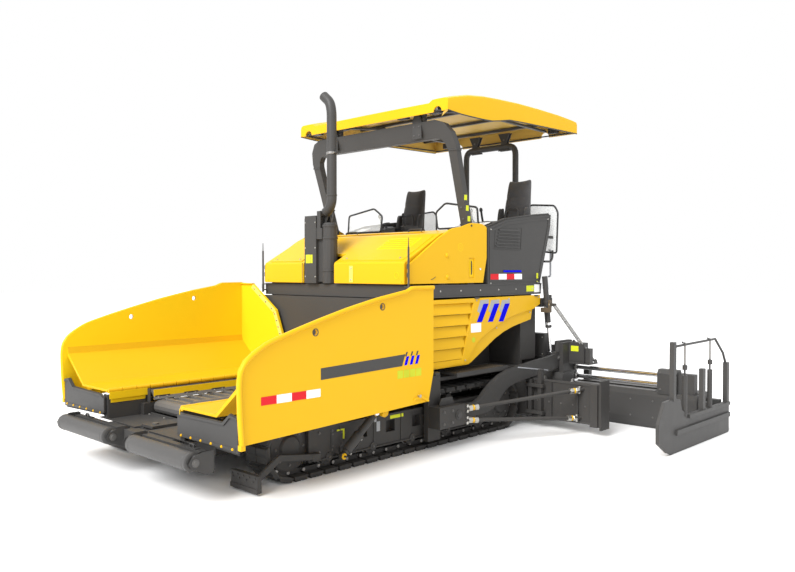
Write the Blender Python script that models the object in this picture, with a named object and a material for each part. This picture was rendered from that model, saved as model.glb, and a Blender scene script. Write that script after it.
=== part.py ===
# Tracked asphalt paver with a folding hopper, an operator's canopy and an
# extending screed.  Metres, +Z up, +X to the machine's left, -Y forward.
# The origin is on the ground under the middle of the bounding box.
import bpy
import bmesh
from math import sin, cos, pi, radians, sqrt, atan2
from mathutils import Vector, Matrix

for _o in list(bpy.data.objects):
    bpy.data.objects.remove(_o, do_unlink=True)

# ------------------------------------------------------------------ dimensions
GAP = 0.0003                 # resting gap between neighbouring pieces
BODY_X = 1.25                # half width over the body panels and the tracks
TRACK_IN = 0.93              # inner face of a track
TRACK_H = 0.62               # height of a track
TRACK_F, TRACK_R = -2.25, 1.62
FRAME_IN, FRAME_OUT = 0.62, 0.70      # chassis side plates
TUNNEL_Z = 0.98              # roof of the conveyor tunnel
WING_HX, WING_HZ = 0.70, 0.72         # hopper wing hinge line
WING_X = 1.65                # outer face of a hopper wing
ROLLER_Y, ROLLER_Z, ROLLER_R = -2.97, 0.37, 0.078
BEAM_PIVOT_Y = -2.62
HOOD_F, HOOD_R = -0.43, 0.60
DECK_LO, DECK_HI = 1.632, 1.772
TOW_Y, TOW_Z = 0.12, 0.37    # pivot of the tow arms
AUGER_Y, AUGER_Z, AUGER_R = 2.00, 0.42, 0.18
SCREED_F, SCREED_R = 2.23, 2.52
EXT_F, EXT_R = 2.56, 2.98
LIFT_Y, LIFT_Z, LIFT_X = 2.17, 1.52, 1.30        # trunnion of a lift cylinder
LIFT_EY, LIFT_EZ = 2.266, 0.86                   # its rod eye on the tow arm
WC_PIN = (1.33, -1.42, 0.167)                    # lower pin of a wing cylinder
WC_EYE = (1.38, -1.02, 0.540)                    # its rod eye on the wing
STACK_X, STACK_Y, STACK_Z = -0.16, -0.35, 2.60   # hinge of the exhaust stack

YELLOW = ((1.0, 0.62, 0.02), 0.35, 0.0)
DARK = ((0.105, 0.10, 0.095), 0.5, 0.1)
BLACK = ((0.03, 0.03, 0.03), 0.7, 0.0)
STEEL = ((0.55, 0.55, 0.55), 0.35, 0.9)
CHROME = ((0.8, 0.8, 0.8), 0.12, 1.0)
CLEAR = ((0.75, 0.78, 0.78), 0.1, 0.0)


# --------------------------------------------------------------------- helpers
def material(name, look):
    m = bpy.data.materials.new(name)
    m.use_nodes = True
    b = m.node_tree.nodes['Principled BSDF']
    col, rough, metal = look
    b.inputs['Base Color'].default_value = (col[0], col[1], col[2], 1)
    b.inputs['Roughness'].default_value = rough
    b.inputs['Metallic'].default_value = metal
    m.diffuse_color = (col[0], col[1], col[2], 1)
    return m


def finish(bm):
    bmesh.ops.recalc_face_normals(bm, faces=bm.faces[:])
    return bm


def box(lo, hi):
    bm = bmesh.new()
    v = [bm.verts.new((x, y, z)) for x in (lo[0], hi[0])
         for y in (lo[1], hi[1]) for z in (lo[2], hi[2])]
    for q in ((0, 1, 3, 2), (4, 6, 7, 5), (0, 4, 5, 1), (2, 3, 7, 6),
              (0, 2, 6, 4), (1, 5, 7, 3)):
        bm.faces.new([v[i] for i in q])
    return finish(bm)


def sbox(s, x0, x1, y0, y1, z0, z1):
    """A box on side s (+1 left, -1 right), x given as a distance from the middle."""
    a, b = sorted((s * x0, s * x1))
    return box((a, y0, z0), (b, y1, z1))


def prism(poly, axis, a, b):
    """A polygon pushed along an axis: 'x' takes (y, z), 'y' takes (x, z), 'z' takes (x, y)."""
    def at(p, t):
        return {'x': (t, p[0], p[1]), 'y': (p[0], t, p[1]), 'z': (p[0], p[1], t)}[axis]
    bm = bmesh.new()
    lo = [bm.verts.new(at(p, a)) for p in poly]
    hi = [bm.verts.new(at(p, b)) for p in poly]
    n = len(poly)
    bm.faces.new(lo)
    bm.faces.new(hi)
    for i in range(n):
        j = (i + 1) % n
        bm.faces.new((lo[i], lo[j], hi[j], hi[i]))
    return finish(bm)


def ring(outer, inner, axis, a, b):
    """A closed band between two outlines with the same number of points."""
    def at(p, t):
        return {'x': (t, p[0], p[1]), 'y': (p[0], t, p[1]), 'z': (p[0], p[1], t)}[axis]
    bm = bmesh.new()
    n = len(outer)
    v = [[bm.verts.new(at(p, t)) for p in o] for t in (a, b) for o in (outer, inner)]
    for i in range(n):
        j = (i + 1) % n
        bm.faces.new((v[0][i], v[0][j], v[1][j], v[1][i]))
        bm.faces.new((v[2][i], v[2][j], v[3][j], v[3][i]))
        bm.faces.new((v[0][i], v[0][j], v[2][j], v[2][i]))
        bm.faces.new((v[1][i], v[1][j], v[3][j], v[3][i]))
    return finish(bm)


def rod(p0, p1, r, n=12, r2=None):
    p0, p1 = Vector(p0), Vector(p1)
    d = p1 - p0
    q = d.to_track_quat('Z', 'Y')
    bm = bmesh.new()
    rings = []
    for p, rr in ((p0, r), (p1, r if r2 is None else r2)):
        rings.append([bm.verts.new(p + q @ Vector((rr * cos(2 * pi * (i + 0.5) / n),
                                                   rr * sin(2 * pi * (i + 0.5) / n), 0)))
                      for i in range(n)])
    bm.faces.new(rings[0])
    bm.faces.new(rings[1])
    for i in range(n):
        j = (i + 1) % n
        bm.faces.new((rings[0][i], rings[0][j], rings[1][j], rings[1][i]))
    return finish(bm)


def beam(p0, p1, w, h, up=(0, 0, 1)):
    """A rectangular bar between two points, w across and h along up."""
    p0, p1, up = Vector(p0), Vector(p1), Vector(up)
    d = (p1 - p0).normalized()
    side = d.cross(up).normalized()
    top = side.cross(d).normalized()
    bm = bmesh.new()
    r = [[bm.verts.new(p + side * (sx * w / 2) + top * (sz * h / 2))
          for sx, sz in ((-1, -1), (1, -1), (1, 1), (-1, 1))] for p in (p0, p1)]
    bm.faces.new(r[0])
    bm.faces.new(r[1])
    for i in range(4):
        j = (i + 1) % 4
        bm.faces.new((r[0][i], r[0][j], r[1][j], r[1][i]))
    return finish(bm)


def sweep(path, r, n=10):
    """A round tube along a path, mitred at its corners."""
    pts = [Vector(p) for p in path]
    bm = bmesh.new()
    rings = []
    d0 = (pts[1] - pts[0]).normalized()
    ref = Vector((0, 0, 1)) if abs(d0.z) < 0.9 else Vector((0, 1, 0))
    u = d0.cross(ref).normalized()
    w = d0.cross(u).normalized()
    base = [(u * cos(2 * pi * (i + 0.5) / n) + w * sin(2 * pi * (i + 0.5) / n)) * r for i in range(n)]
    for k, p in enumerate(pts):
        if k == 0:
            nrm = (pts[1] - pts[0]).normalized()
            cur = [p + b for b in base]
        else:
            din = (pts[k] - pts[k - 1]).normalized()
            dout = (pts[k + 1] - pts[k]).normalized() if k + 1 < len(pts) else din
            nrm = (din + dout).normalized()
            prev = [v.co.copy() for v in rings[-1]]
            cur = [q + din * ((p - q).dot(nrm) / din.dot(nrm)) for q in prev]
        rings.append([bm.verts.new(c) for c in cur])
    bm.faces.new(rings[0])
    bm.faces.new(rings[-1])
    for a, b in zip(rings, rings[1:]):
        for i in range(n):
            j = (i + 1) % n
            bm.faces.new((a[i], a[j], b[j], b[i]))
    return finish(bm)


def shift(bm, v):
    bmesh.ops.translate(bm, vec=Vector(v), verts=bm.verts[:])
    return bm


def mirror(bm):
    for v in bm.verts:
        v.co.x = -v.co.x
    return finish(bm)


def side(bm, s):
    return bm if s > 0 else mirror(bm)


def temp(bm, name):
    me = bpy.data.meshes.new(name)
    bm.to_mesh(me)
    bm.free()
    o = bpy.data.objects.new(name, me)
    bpy.context.scene.collection.objects.link(o)
    return o


def node(name, adds, look, cuts=(), origin=None, smooth=None):
    """One solid: the adds joined together, less the cuts."""
    base = temp(adds[0], name)
    tools = []
    for k, bm in enumerate(list(adds[1:]) + list(cuts)):
        t = temp(bm, name + '_tool%d' % k)
        m = base.modifiers.new('b%d' % k, 'BOOLEAN')
        m.operation = 'UNION' if k < len(adds) - 1 else 'DIFFERENCE'
        m.solver = 'EXACT'
        m.object = t
        tools.append(t)
    if tools:
        bpy.context.view_layer.update()
        dg = bpy.context.evaluated_depsgraph_get()
        me = bpy.data.meshes.new_from_object(base.evaluated_get(dg))
        base.modifiers.clear()
        old = base.data
        base.data = me
        bpy.data.meshes.remove(old)
        for t in tools:
            bpy.data.objects.remove(t, do_unlink=True)
    me = base.data
    bm = bmesh.new()
    bm.from_mesh(me)
    bmesh.ops.remove_doubles(bm, verts=bm.verts[:], dist=1e-5)
    bmesh.ops.dissolve_limit(bm, angle_limit=radians(0.05), verts=bm.verts[:], edges=bm.edges[:])
    bmesh.ops.recalc_face_normals(bm, faces=bm.faces[:])
    bm.to_mesh(me)
    bm.free()
    me.materials.clear()
    me.materials.append(material(name + '_paint', look))
    if smooth:
        me.shade_smooth()
        me.set_sharp_from_angle(angle=radians(smooth))
    base.name = name
    if origin is not None:
        o = Vector(origin)
        me.transform(Matrix.Translation(-o))
        base.location = o
    return base


def circle(cy, cz, r, n, a0=0.0):
    return [(cy + r * cos(a0 + 2 * pi * i / n), cz + r * sin(a0 + 2 * pi * i / n)) for i in range(n)]


# ------------------------------------------------------------------- chassis
# the tunnel over the conveyor, with the belly plate and the stubs of the tracks
adds = [box((-FRAME_OUT, -2.40, 0.24), (FRAME_OUT, -2.32, 0.44))]
for s in (1, -1):
    adds.append(side(prism([(-2.41, 0.24), (1.78, 0.24), (1.78, 1.62), (-0.36, 1.62), (-0.36, 0.56),
                            (-2.41, 0.56)], 'x', FRAME_IN, FRAME_OUT), s))
    adds.append(sbox(s, 0.68, 1.00, -1.35, -1.05, 0.30, 0.42))
    adds.append(sbox(s, 0.68, 1.00, 0.45, 0.75, 0.301, 0.421))
adds.append(box((-FRAME_OUT + 0.02, -0.359, TUNNEL_Z), (FRAME_OUT - 0.02, 1.779, TUNNEL_Z + 0.04)))
adds.append(box((-FRAME_OUT + 0.02, 1.742, TUNNEL_Z + 0.001), (FRAME_OUT - 0.02, 1.782, 1.619)))
adds.append(box((-FRAME_OUT + 0.02, -2.38, 0.241), (FRAME_OUT - 0.02, 1.70, 0.275)))
# fork for the push beam
adds.append(box((-0.10, -2.71, 0.441), (0.10, -2.33, 0.465)))
adds.append(box((-0.10, -2.42, 0.242), (0.10, -2.33, 0.464)))
adds.append(box((-0.10, -2.71, 0.230), (0.10, -2.33, 0.258)))
node('main_frame', adds, DARK)

# chain case that drives the augers
node('auger_drive', [
    box((-0.07, 1.782 + GAP, 0.99), (0.07, 2.08, 1.20)),
    box((-0.069, 1.94, 0.34), (0.069, 2.06, 1.00)),
], DARK)

for s, tag in ((1, 'l'), (-1, 'r')):
    # deck over the track, rear wall, and rear post with the arm of the lift cylinder
    node('rear_frame_' + tag, [
        sbox(s, FRAME_OUT + GAP, 1.19, -0.361, 1.779, 0.70, 0.74),
        sbox(s, FRAME_OUT + GAP, 1.185, 1.741, 1.781, 0.501, 1.621),
        sbox(s, 1.08, 1.186, 1.76, 2.08, 0.80, 1.60),
        sbox(s, 1.10, 1.187, 1.95, 2.38, 1.46, 1.57),
        sbox(s, 1.15, 1.255, 2.12, 2.381, 1.461, 1.571),
        sbox(s, 1.16, 1.245, 2.31, 2.379, 1.50, 1.615),
        rod((s * 1.20, LIFT_Y, LIFT_Z), (s * 1.261, LIFT_Y, LIFT_Z), 0.024, 12),
        sbox(s, 0.75, 1.60, 1.742, 1.778, 0.50, 0.58),
    ], DARK)
    # tow point outside the track: arm, inner cheek, web, outer cheek and pin
    node('tow_point_' + tag, [
        sbox(s, 1.05, 1.30, -0.19, 0.01, 0.74 + GAP, 0.80),
        sbox(s, 1.19 + GAP, 1.30, -0.189, 0.009, 0.701, 0.799),
        sbox(s, 1.275, 1.335, -0.191, 0.011, 0.10, 0.799),
        sbox(s, 1.276, 1.334, -0.19, 0.22, 0.25, 0.48),
        sbox(s, 1.30, 1.50, -0.189, -0.05, 0.251, 0.479),
        sbox(s, 1.41, 1.499, -0.188, 0.22, 0.252, 0.478),
        rod((s * 1.30, TOW_Y, TOW_Z), (s * 1.45, TOW_Y, TOW_Z), 0.030, 12),
    ], DARK)

# front wall of the engine bay over the conveyor tunnel
FRONT_WALL = [(-1.20, 0.78), (-0.64, 0.78), (-0.60, 1.02), (0.60, 1.02), (0.64, 0.78), (1.20, 0.78),
              (1.22, 1.625), (-1.22, 1.625)]
BACK_WALL = [(-1.185, 0.79), (-0.65, 0.79), (-0.61, 1.03), (0.61, 1.03), (0.65, 0.79), (1.185, 0.79),
             (1.185, 1.60), (-1.185, 1.60)]
node('front_bulkhead', [prism(FRONT_WALL, 'y', -0.43, -0.40), prism(BACK_WALL, 'y', -0.401, -0.362)], DARK)

# slat conveyor: floor and middle chain guard
node('conveyor', [
    box((-0.60, -2.23, 0.46), (0.60, 1.45, 0.57)),
    prism([(-0.05, 0.56), (-0.05, 0.60), (-0.02, 0.63), (0.02, 0.63), (0.05, 0.60), (0.05, 0.56)],
          "y", -2.22, 1.43),
    rod((-0.60, -2.24, 0.515), (0.60, -2.24, 0.515), 0.070, 12),
    rod((-0.60, 1.45, 0.515), (0.60, 1.45, 0.515), 0.070, 12),
], STEEL)

# ---------------------------------------------------------------------- tracks
def stadium(r, y0, y1, cz, n):
    out = [(y1 + r * sin(pi * i / n), cz - r * cos(pi * i / n)) for i in range(n + 1)]
    out += [(y0 - r * sin(pi * i / n), cz + r * cos(pi * i / n)) for i in range(n + 1)]
    return out


def track_outline(pads):
    """Outer line of the belt with a groove between neighbouring pads."""
    r = TRACK_H / 2
    y0, y1 = TRACK_F + r, TRACK_R - r
    straight = y1 - y0
    total = 2 * straight + 2 * pi * r
    groove = 0.012

    def point(t, rr):
        t = t % total
        if t < straight:
            return (y0 + t, r - rr)
        t -= straight
        if t < pi * r:
            a = t / r
            return (y1 + rr * sin(a), r - rr * cos(a))
        t -= pi * r
        if t < straight:
            return (y1 - t, r + rr)
        a = (t - straight) / r
        return (y0 - rr * sin(a), r + rr * cos(a))
    step = total / pads
    outer, inner = [], []
    for k in range(pads):
        t = k * step
        for f, rr in ((0.04, r), (0.90, r), (0.905, r - groove), (0.035 + 1.0, r - groove)):
            outer.append(point(t + f * step, rr))
            inner.append(point(t + f * step, r - 0.07))
    return outer, inner


to, ti = track_outline(46)
for s, tag in ((1, 'l'), (-1, 'r')):
    a, b = sorted((s * TRACK_IN, s * BODY_X))
    node('track_' + tag, [ring(to, ti, 'x', a, b)], BLACK)

    # side frame, rollers, idler and sprocket, with the scraper ahead of the belt
    yi, ys = TRACK_F + 0.31, TRACK_R - 0.31
    adds = [sbox(s, 1.00, 1.19, -1.62, 0.98, 0.20, 0.44)]
    adds.append(sbox(s, 1.188, 1.225, -1.75, 1.12, 0.14, 0.46))
    adds.append(rod((s * 1.02, yi, 0.31), (s * 1.17, yi, 0.31), 0.228, 16))
    adds.append(rod((s * 1.02, ys, 0.31), (s * 1.17, ys, 0.31), 0.228, 16))
    adds.append(sbox(s, 1.06, 1.13, -1.95, -1.60, 0.26, 0.37))
    adds.append(sbox(s, 1.06, 1.13, 0.95, 1.30, 0.261, 0.371))
    for k in range(5):
        y = -1.50 + k * 0.59
        adds.append(rod((s * 1.00, y, 0.158), (s * 1.19, y, 0.158), 0.080, 12))
    for y in (-1.0, 0.35):
        adds.append(rod((s * 1.02, y, 0.485), (s * 1.17, y, 0.485), 0.055, 10))
    # pin of the wing cylinder and the arm and blade of the scraper
    adds.append(rod((s * 1.20, WC_PIN[1], WC_PIN[2]), (s * 1.385, WC_PIN[1], WC_PIN[2]), 0.010, 10))
    adds.append(sbox(s, 1.20, 1.294, -1.76, -1.66, 0.17, 0.23))
    adds.append(side(prism([(-1.70, 0.172), (-1.70, 0.228), (-2.14, 0.292), (-2.40, 0.13), (-2.37, 0.085),
                            (-2.125, 0.235)], 'x', 1.265, 1.293), s))
    adds.append(sbox(s, 0.97, 1.36, -2.43, -2.385, 0.02, 0.17))
    cuts = [sbox(s, 1.15, 1.30, y, y + 0.13, 0.27, 0.39) for y in (-1.12, -0.72, -0.32)]
    node('track_frame_' + tag, adds, DARK, cuts)

# ----------------------------------------------------------------- hopper wings
WING_LINE = [(-0.465, 1.775), (-0.79, 1.773), (-0.865, 1.738), (-1.278, 1.671), (-1.65, 1.593),
             (-1.995, 1.506), (-2.317, 1.417), (-2.543, 1.347), (-2.673, 1.279), (-2.758, 1.216),
             (-2.807, 1.138), (-2.822, 1.035), (-2.816, 0.78), (-2.797, 0.53), (-2.755, 0.536),
             (-0.54, 0.618), (-0.465, 0.898)]
WING_SEC = [(0.692, 0.705), (0.70, 0.735), (1.24, 0.735), (1.60, 1.03), (1.63, 1.10), (1.645, 1.08),
            (1.63, 0.99), (1.262, 0.700), (1.20, 0.698)]
for s, tag in ((1, 'l'), (-1, 'r')):
    adds = [side(prism(WING_LINE, 'x', WING_X - 0.03, WING_X), s),
            side(prism(WING_SEC, 'y', -2.765, -0.466), s),
            side(prism([(0.71, 0.71), (1.25, 0.71), (1.63, 1.01), (1.641, 1.774), (1.372, 1.762),
                        (0.896, 1.447), (0.76, 1.133)], 'y', -0.50, -0.467), s),
            rod((s * WING_HX, -2.76, WING_HZ), (s * WING_HX, -0.47, WING_HZ), 0.026, 10),
            sbox(s, 1.455, 1.495, -1.06, -0.955, 0.50, 0.92),
            sbox(s, 1.258, 1.290, -1.06, -0.955, 0.53, 0.76)]
    node('wing_' + tag, adds, YELLOW, origin=(s * WING_HX, -1.6, WING_HZ))
    # rubber-edged apron across the front of the wing
    node('apron_' + tag, [side(prism([(0.70, 0.50), (1.612, 0.47), (1.612, 0.76), (1.50, 0.78),
                                      (1.40, 0.70), (0.78, 0.69), (0.70, 0.66)], 'y', -2.80, -2.78), s),
                          side(prism([(0.76, 0.60), (1.60, 0.60), (1.60, 0.66), (0.76, 0.66)], 'y',
                                     -2.781, -2.7655), s)],
         DARK, origin=(s * WING_HX, -1.6, WING_HZ))

    # wing cylinder
    p, e = Vector((s * WC_PIN[0], WC_PIN[1], WC_PIN[2])), Vector((s * WC_EYE[0], WC_EYE[1], WC_EYE[2]))
    d = (e - p).normalized()
    length = (e - p).length
    node('wing_barrel_' + tag, [
        rod(p + d * 0.035, p + d * 0.503, 0.038, 12),
        rod(p - Vector((0.020, 0, 0)), p + Vector((0.020, 0, 0)), 0.040, 12)],
        DARK, [rod(p - Vector((0.1, 0, 0)), p + Vector((0.1, 0, 0)), 0.0205, 10),
               rod(p + d * 0.045, p + d * 0.55, 0.0245, 12)], origin=p)
    node('wing_rod_' + tag, [
        rod(p + d * 0.055, e - d * 0.012, 0.020, 12),
        rod(e - Vector((0.020, 0, 0)), e + Vector((0.020, 0, 0)), 0.034, 12),
        rod(e - Vector((0.030, 0, 0)), e + Vector((0.030, 0, 0)), 0.016, 10)],
        CHROME, origin=e)

# -------------------------------------------------------------------- push beam
adds = [box((-1.20, -2.86, 0.28), (1.20, -2.80, 0.43)),
        box((-0.60, -2.81, 0.281), (0.60, -2.74, 0.429)),
        box((-0.07, -2.75, 0.275), (0.07, -2.62, 0.425)),
        rod((0, BEAM_PIVOT_Y, 0.276), (0, BEAM_PIVOT_Y, 0.424), 0.095, 16)]
for x in (-1.262, -0.192, 0.148, 1.234):
    adds.append(prism([(-2.80, 0.29), (-2.80, 0.44), (-2.97, 0.43), (-3.01, 0.37), (-2.97, 0.31)],
                      'x', x, x + 0.030))
    if abs(x) > 1:
        adds.append(box((min(x, x + 0.03) - 0.03 if x > 0 else x, -2.86, 0.285),
                        (x + 0.03 if x > 0 else x + 0.06, -2.79, 0.425)))
adds.append(rod((-1.25, ROLLER_Y, ROLLER_Z), (-0.17, ROLLER_Y, ROLLER_Z), 0.018, 10))
adds.append(rod((1.25, ROLLER_Y, ROLLER_Z), (0.17, ROLLER_Y, ROLLER_Z), 0.018, 10))
node('push_beam', adds, DARK, origin=(0, BEAM_PIVOT_Y, 0.35))
for s, tag in ((1, 'l'), (-1, 'r')):
    node('push_roller_' + tag, [rod((s * 0.223, ROLLER_Y, ROLLER_Z), (s * 1.223, ROLLER_Y, ROLLER_Z),
                                    ROLLER_R, 20)], DARK,
         [rod((s * 0.1, ROLLER_Y, ROLLER_Z), (s * 1.3, ROLLER_Y, ROLLER_Z), 0.0205, 10)],
         origin=(s * 0.723, ROLLER_Y, ROLLER_Z))

# ----------------------------------------------------- engine, hood, side panels
node('engine_block', [box((-0.50, -0.12, 1.06), (0.50, 0.48, 1.95))], DARK)

HOOD_LINE = [(HOOD_F, 1.785), (HOOD_F, 2.02), (0.17, 2.345), (HOOD_R, 2.41), (HOOD_R, 1.785)]
HOOD_IN = [(HOOD_F + 0.03, 1.70), (HOOD_F + 0.03, 2.00), (0.18, 2.312), (HOOD_R - 0.03, 2.378),
           (HOOD_R - 0.03, 1.70)]
adds = [prism(HOOD_LINE, 'x', -1.208, 1.208)]
node('engine_hood', adds, YELLOW,
     [prism(HOOD_IN, 'x', -1.185, 1.185),
      box((-0.45, -0.60, 1.60), (0.10, -0.235, 2.60))])
for s, tag in ((1, 'l'), (-1, 'r')):
    node('hood_door_' + tag, [side(prism(
        [(-0.405, 1.79), (0.887, 1.79), (0.955, 2.08), (0.955, 2.434), (0.856, 2.480), (0.662, 2.480),
         (0.488, 2.432), (0.305, 2.400), (0.103, 2.303), (-0.405, 1.985)], 'x', 1.222, BODY_X), s)],
        YELLOW, origin=(s * 1.236, -0.39, 1.90))
    node('side_door_' + tag, [side(prism(
        [(-0.35, 0.844), (0.63, 0.849), (0.689, 0.873), (0.858, 0.964), (1.134, 1.111), (1.32, 1.185),
         (1.53, 1.243), (1.909, 1.312), (1.937, 1.441), (2.093, 1.501), (2.098, 1.624), (-0.35, 1.610)],
        'x', 1.205, BODY_X), s)],
        YELLOW, origin=(s * 1.2275, -0.33, 1.20))

# exhaust: box and silencer in the hood's notch, and the stack hinged on top
node('exhaust_box', [
    box((-0.41, -0.437, 1.782), (-0.20, -0.26, 2.58)),
    rod((-0.06, -0.345, 1.783), (-0.06, -0.345, 2.47), 0.088, 14),
    box((-0.25, -0.40, 1.80), (-0.05, -0.30, 2.40)),
    box((-0.205, -0.436, 2.30), (-0.10, -0.261, 2.43)),
    box((-0.19, -0.435, 2.40), (-0.13, -0.418, 2.63)),
    box((-0.19, -0.282, 2.40), (-0.13, -0.262, 2.63)),
], DARK)
node('exhaust_stack', [
    sweep([(-0.13, STACK_Y, 2.615), (-0.06, STACK_Y, 2.66), (-0.022, STACK_Y, 2.74), (-0.022, STACK_Y, 3.80),
           (-0.05, STACK_Y, 3.89), (-0.16, STACK_Y, 3.985)], 0.060, 12),
    rod((STACK_X, STACK_Y - 0.062, STACK_Z), (STACK_X, STACK_Y + 0.062, STACK_Z), 0.036, 12),
], DARK, origin=(STACK_X, STACK_Y, STACK_Z))

# ------------------------------------------------------------- operator platform
adds = [prism([(-0.385, DECK_LO), (2.11, DECK_LO), (2.12, DECK_HI), (-0.385, DECK_HI)], 'x',
              -BODY_X, BODY_X),
        box((-0.75, 2.05, DECK_LO + 0.001), (0.75, 2.80, DECK_HI - 0.001))]
node('platform', adds, DARK, [box((-1.13, -0.34, 1.5), (1.13, 0.56, 1.9))])

CONSOLE = [(0.975, DECK_HI + GAP), (2.085, DECK_HI + GAP), (2.32, 2.48), (2.34, 2.662), (1.90, 2.62),
           (1.34, 2.547), (0.975, 2.435)]
DESK = [(0.976, DECK_HI + GAP), (1.30, DECK_HI + GAP), (1.34, 2.20), (1.34, 2.53), (0.976, 2.43)]
for s, tag in ((1, 'l'), (-1, 'r')):
    node('console_' + tag, [side(prism(CONSOLE, 'x', 1.165, BODY_X), s),
                            side(prism(DESK, 'x', 0.62, 1.20), s)], DARK)
    sx = s * 0.92
    node('seat_' + tag, [
        box((sx - 0.10, 1.62, DECK_HI + GAP), (sx + 0.10, 1.90, 2.24)),
        box((sx - 0.215, 1.45, 2.22), (sx + 0.215, 1.99, 2.36)),
        prism([(1.93, 2.30), (2.05, 2.30), (2.17, 3.10), (2.09, 3.10)], 'x', sx - 0.16, sx + 0.16),
        prism([(1.935, 2.31), (2.045, 2.31), (2.11, 2.78), (2.01, 2.78)], 'x', sx - 0.215, sx + 0.215),
        box((sx - 0.232, 1.62, 2.35), (sx - 0.19, 2.02, 2.39)),
        box((sx + 0.19, 1.62, 2.35), (sx + 0.232, 2.02, 2.39)),
        box((sx - 0.234, 1.56, 2.52), (sx - 0.18, 2.03, 2.565)),
        box((sx + 0.18, 1.56, 2.52), (sx + 0.234, 2.03, 2.565)),
        box((sx - 0.231, 1.96, 2.36), (sx - 0.191, 2.01, 2.53)),
        box((sx + 0.191, 1.96, 2.36), (sx + 0.231, 2.01, 2.53)),
    ], BLACK)
    node('screen_front_' + tag, [side(prism([(0.50, 2.44), (1.14, 2.44), (1.12, 2.69), (0.62, 2.77),
                                             (0.46, 2.66)], 'y', 0.935, 0.95), s),
                                 sbox(s, 0.66, 0.70, 0.948, 0.9755, 2.20, 2.50),
                                 sbox(s, 1.08, 1.12, 0.948, 0.9755, 2.20, 2.50)], CLEAR)
    node('screen_rear_' + tag, [side(prism([(0.80, 2.20), (1.28, 2.15), (1.30, 2.70), (1.24, 2.80),
                                            (0.86, 2.83), (0.80, 2.76)], 'y', 2.44, 2.455), s),
                                sbox(s, 1.19, 1.23, 2.30, 2.445, 2.35, 2.39)], CLEAR)

# --------------------------------------------------------------------- canopy
def lean(bm):
    """The arch leans forward above the hood's top."""
    for v in bm.verts:
        v.co.y += -(v.co.z - 2.47) * 0.30
    return finish(bm)


out_half = [(1.205, 2.45), (1.235, 3.36), (1.20, 3.50), (1.12, 3.60), (1.00, 3.645)]
in_half = [(1.095, 2.45), (1.115, 3.28), (1.09, 3.37), (1.04, 3.425), (0.96, 3.445)]
arch = [(x, z) for x, z in out_half] + [(-x, z) for x, z in reversed(out_half)]
arch += [(-x, z) for x, z in in_half] + [(x, z) for x, z in reversed(in_half)]
adds = [lean(prism(arch, 'y', 0.655, 0.735)),
        box((1.0945, 0.656, DECK_HI + GAP), (1.2045, 0.734, 2.475)),
        box((-1.2045, 0.656, DECK_HI + GAP), (-1.0945, 0.734, 2.475))]
for x in (-0.78, 0.66):
    adds.append(box((x, 0.34, 3.60), (x + 0.12, 0.42, 3.7555)))
node('front_hoop', adds, DARK)

adds = [sweep([(-0.44, 2.70, DECK_HI + GAP), (-0.44, 2.70, 3.60), (-0.41, 2.70, 3.67), (-0.34, 2.70, 3.70),
               (0.34, 2.70, 3.70), (0.41, 2.70, 3.67), (0.44, 2.70, 3.60), (0.44, 2.70, DECK_HI + GAP)],
              0.042, 10)]
for x in (-0.30, 0.22):
    adds.append(prism([(x - 0.02, 3.70), (x + 0.10, 3.70), (x + 0.06, 3.78), (x + 0.10, 3.8615),
                       (x - 0.02, 3.8615), (x + 0.02, 3.78)], 'y', 2.68, 2.72))
node('rear_hoop', adds, DARK)

ROOF_TOP = [(0.213, 3.862), (0.602, 3.945), (0.884, 3.976), (1.18, 3.991), (1.596, 4.004), (2.042, 4.004),
            (2.519, 3.995), (2.953, 3.975)]
ROOF_BOT = [(2.953, 3.794), (2.05, 3.776), (1.365, 3.756), (1.161, 3.715), (1.0, 3.693), (0.658, 3.690),
            (0.213, 3.716)]
ROOF_IN = [(0.25, 3.60), (0.25, 3.818), (0.602, 3.900), (1.18, 3.948), (1.596, 3.962), (2.042, 3.962),
           (2.519, 3.952), (2.91, 3.935), (2.91, 3.60)]
CANOPY_X = 1.271
adds = [prism(ROOF_TOP + ROOF_BOT, 'x', -CANOPY_X, CANOPY_X)]
node('canopy', adds, YELLOW,
     [prism(ROOF_IN, 'x', -CANOPY_X + 0.035, CANOPY_X - 0.035)])

# ----------------------------------------------------------------- augers
def auger(s, x0, x1, pitch, steps_per_turn=14):
    """Shaft with one helical flight: a section with a narrow fin, twisted along X."""
    turns = (x1 - x0) / pitch
    steps = int(round(turns * steps_per_turn))
    r0, r1 = 0.038, AUGER_R
    prof = [(r1, -0.16), (r1, 0.16)] + [(r0, 0.55 + k * (2 * pi - 1.10) / 7) for k in range(8)]
    bm = bmesh.new()
    rings = []
    for k in range(steps + 1):
        x = x0 + (x1 - x0) * k / steps
        tw = s * 2 * pi * (x - x0) / pitch
        rings.append([bm.verts.new((s * x, AUGER_Y + r * cos(a + tw), AUGER_Z + r * sin(a + tw)))
                      for r, a in prof])
    n = len(prof)
    bm.faces.new(rings[0])
    bm.faces.new(rings[-1])
    for a, b in zip(rings, rings[1:]):
        for i in range(n):
            j = (i + 1) % n
            # split every strip the same way along the twist
            bm.faces.new((a[i], a[j], b[j]))
            bm.faces.new((a[i], b[j], b[i]))
    return finish(bm)


for s, tag in ((1, 'l'), (-1, 'r')):
    node('auger_' + tag, [side(auger(1, 0.085, 2.13, 0.40), s)], STEEL,
         origin=(s * 1.10, AUGER_Y, AUGER_Z))

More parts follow.
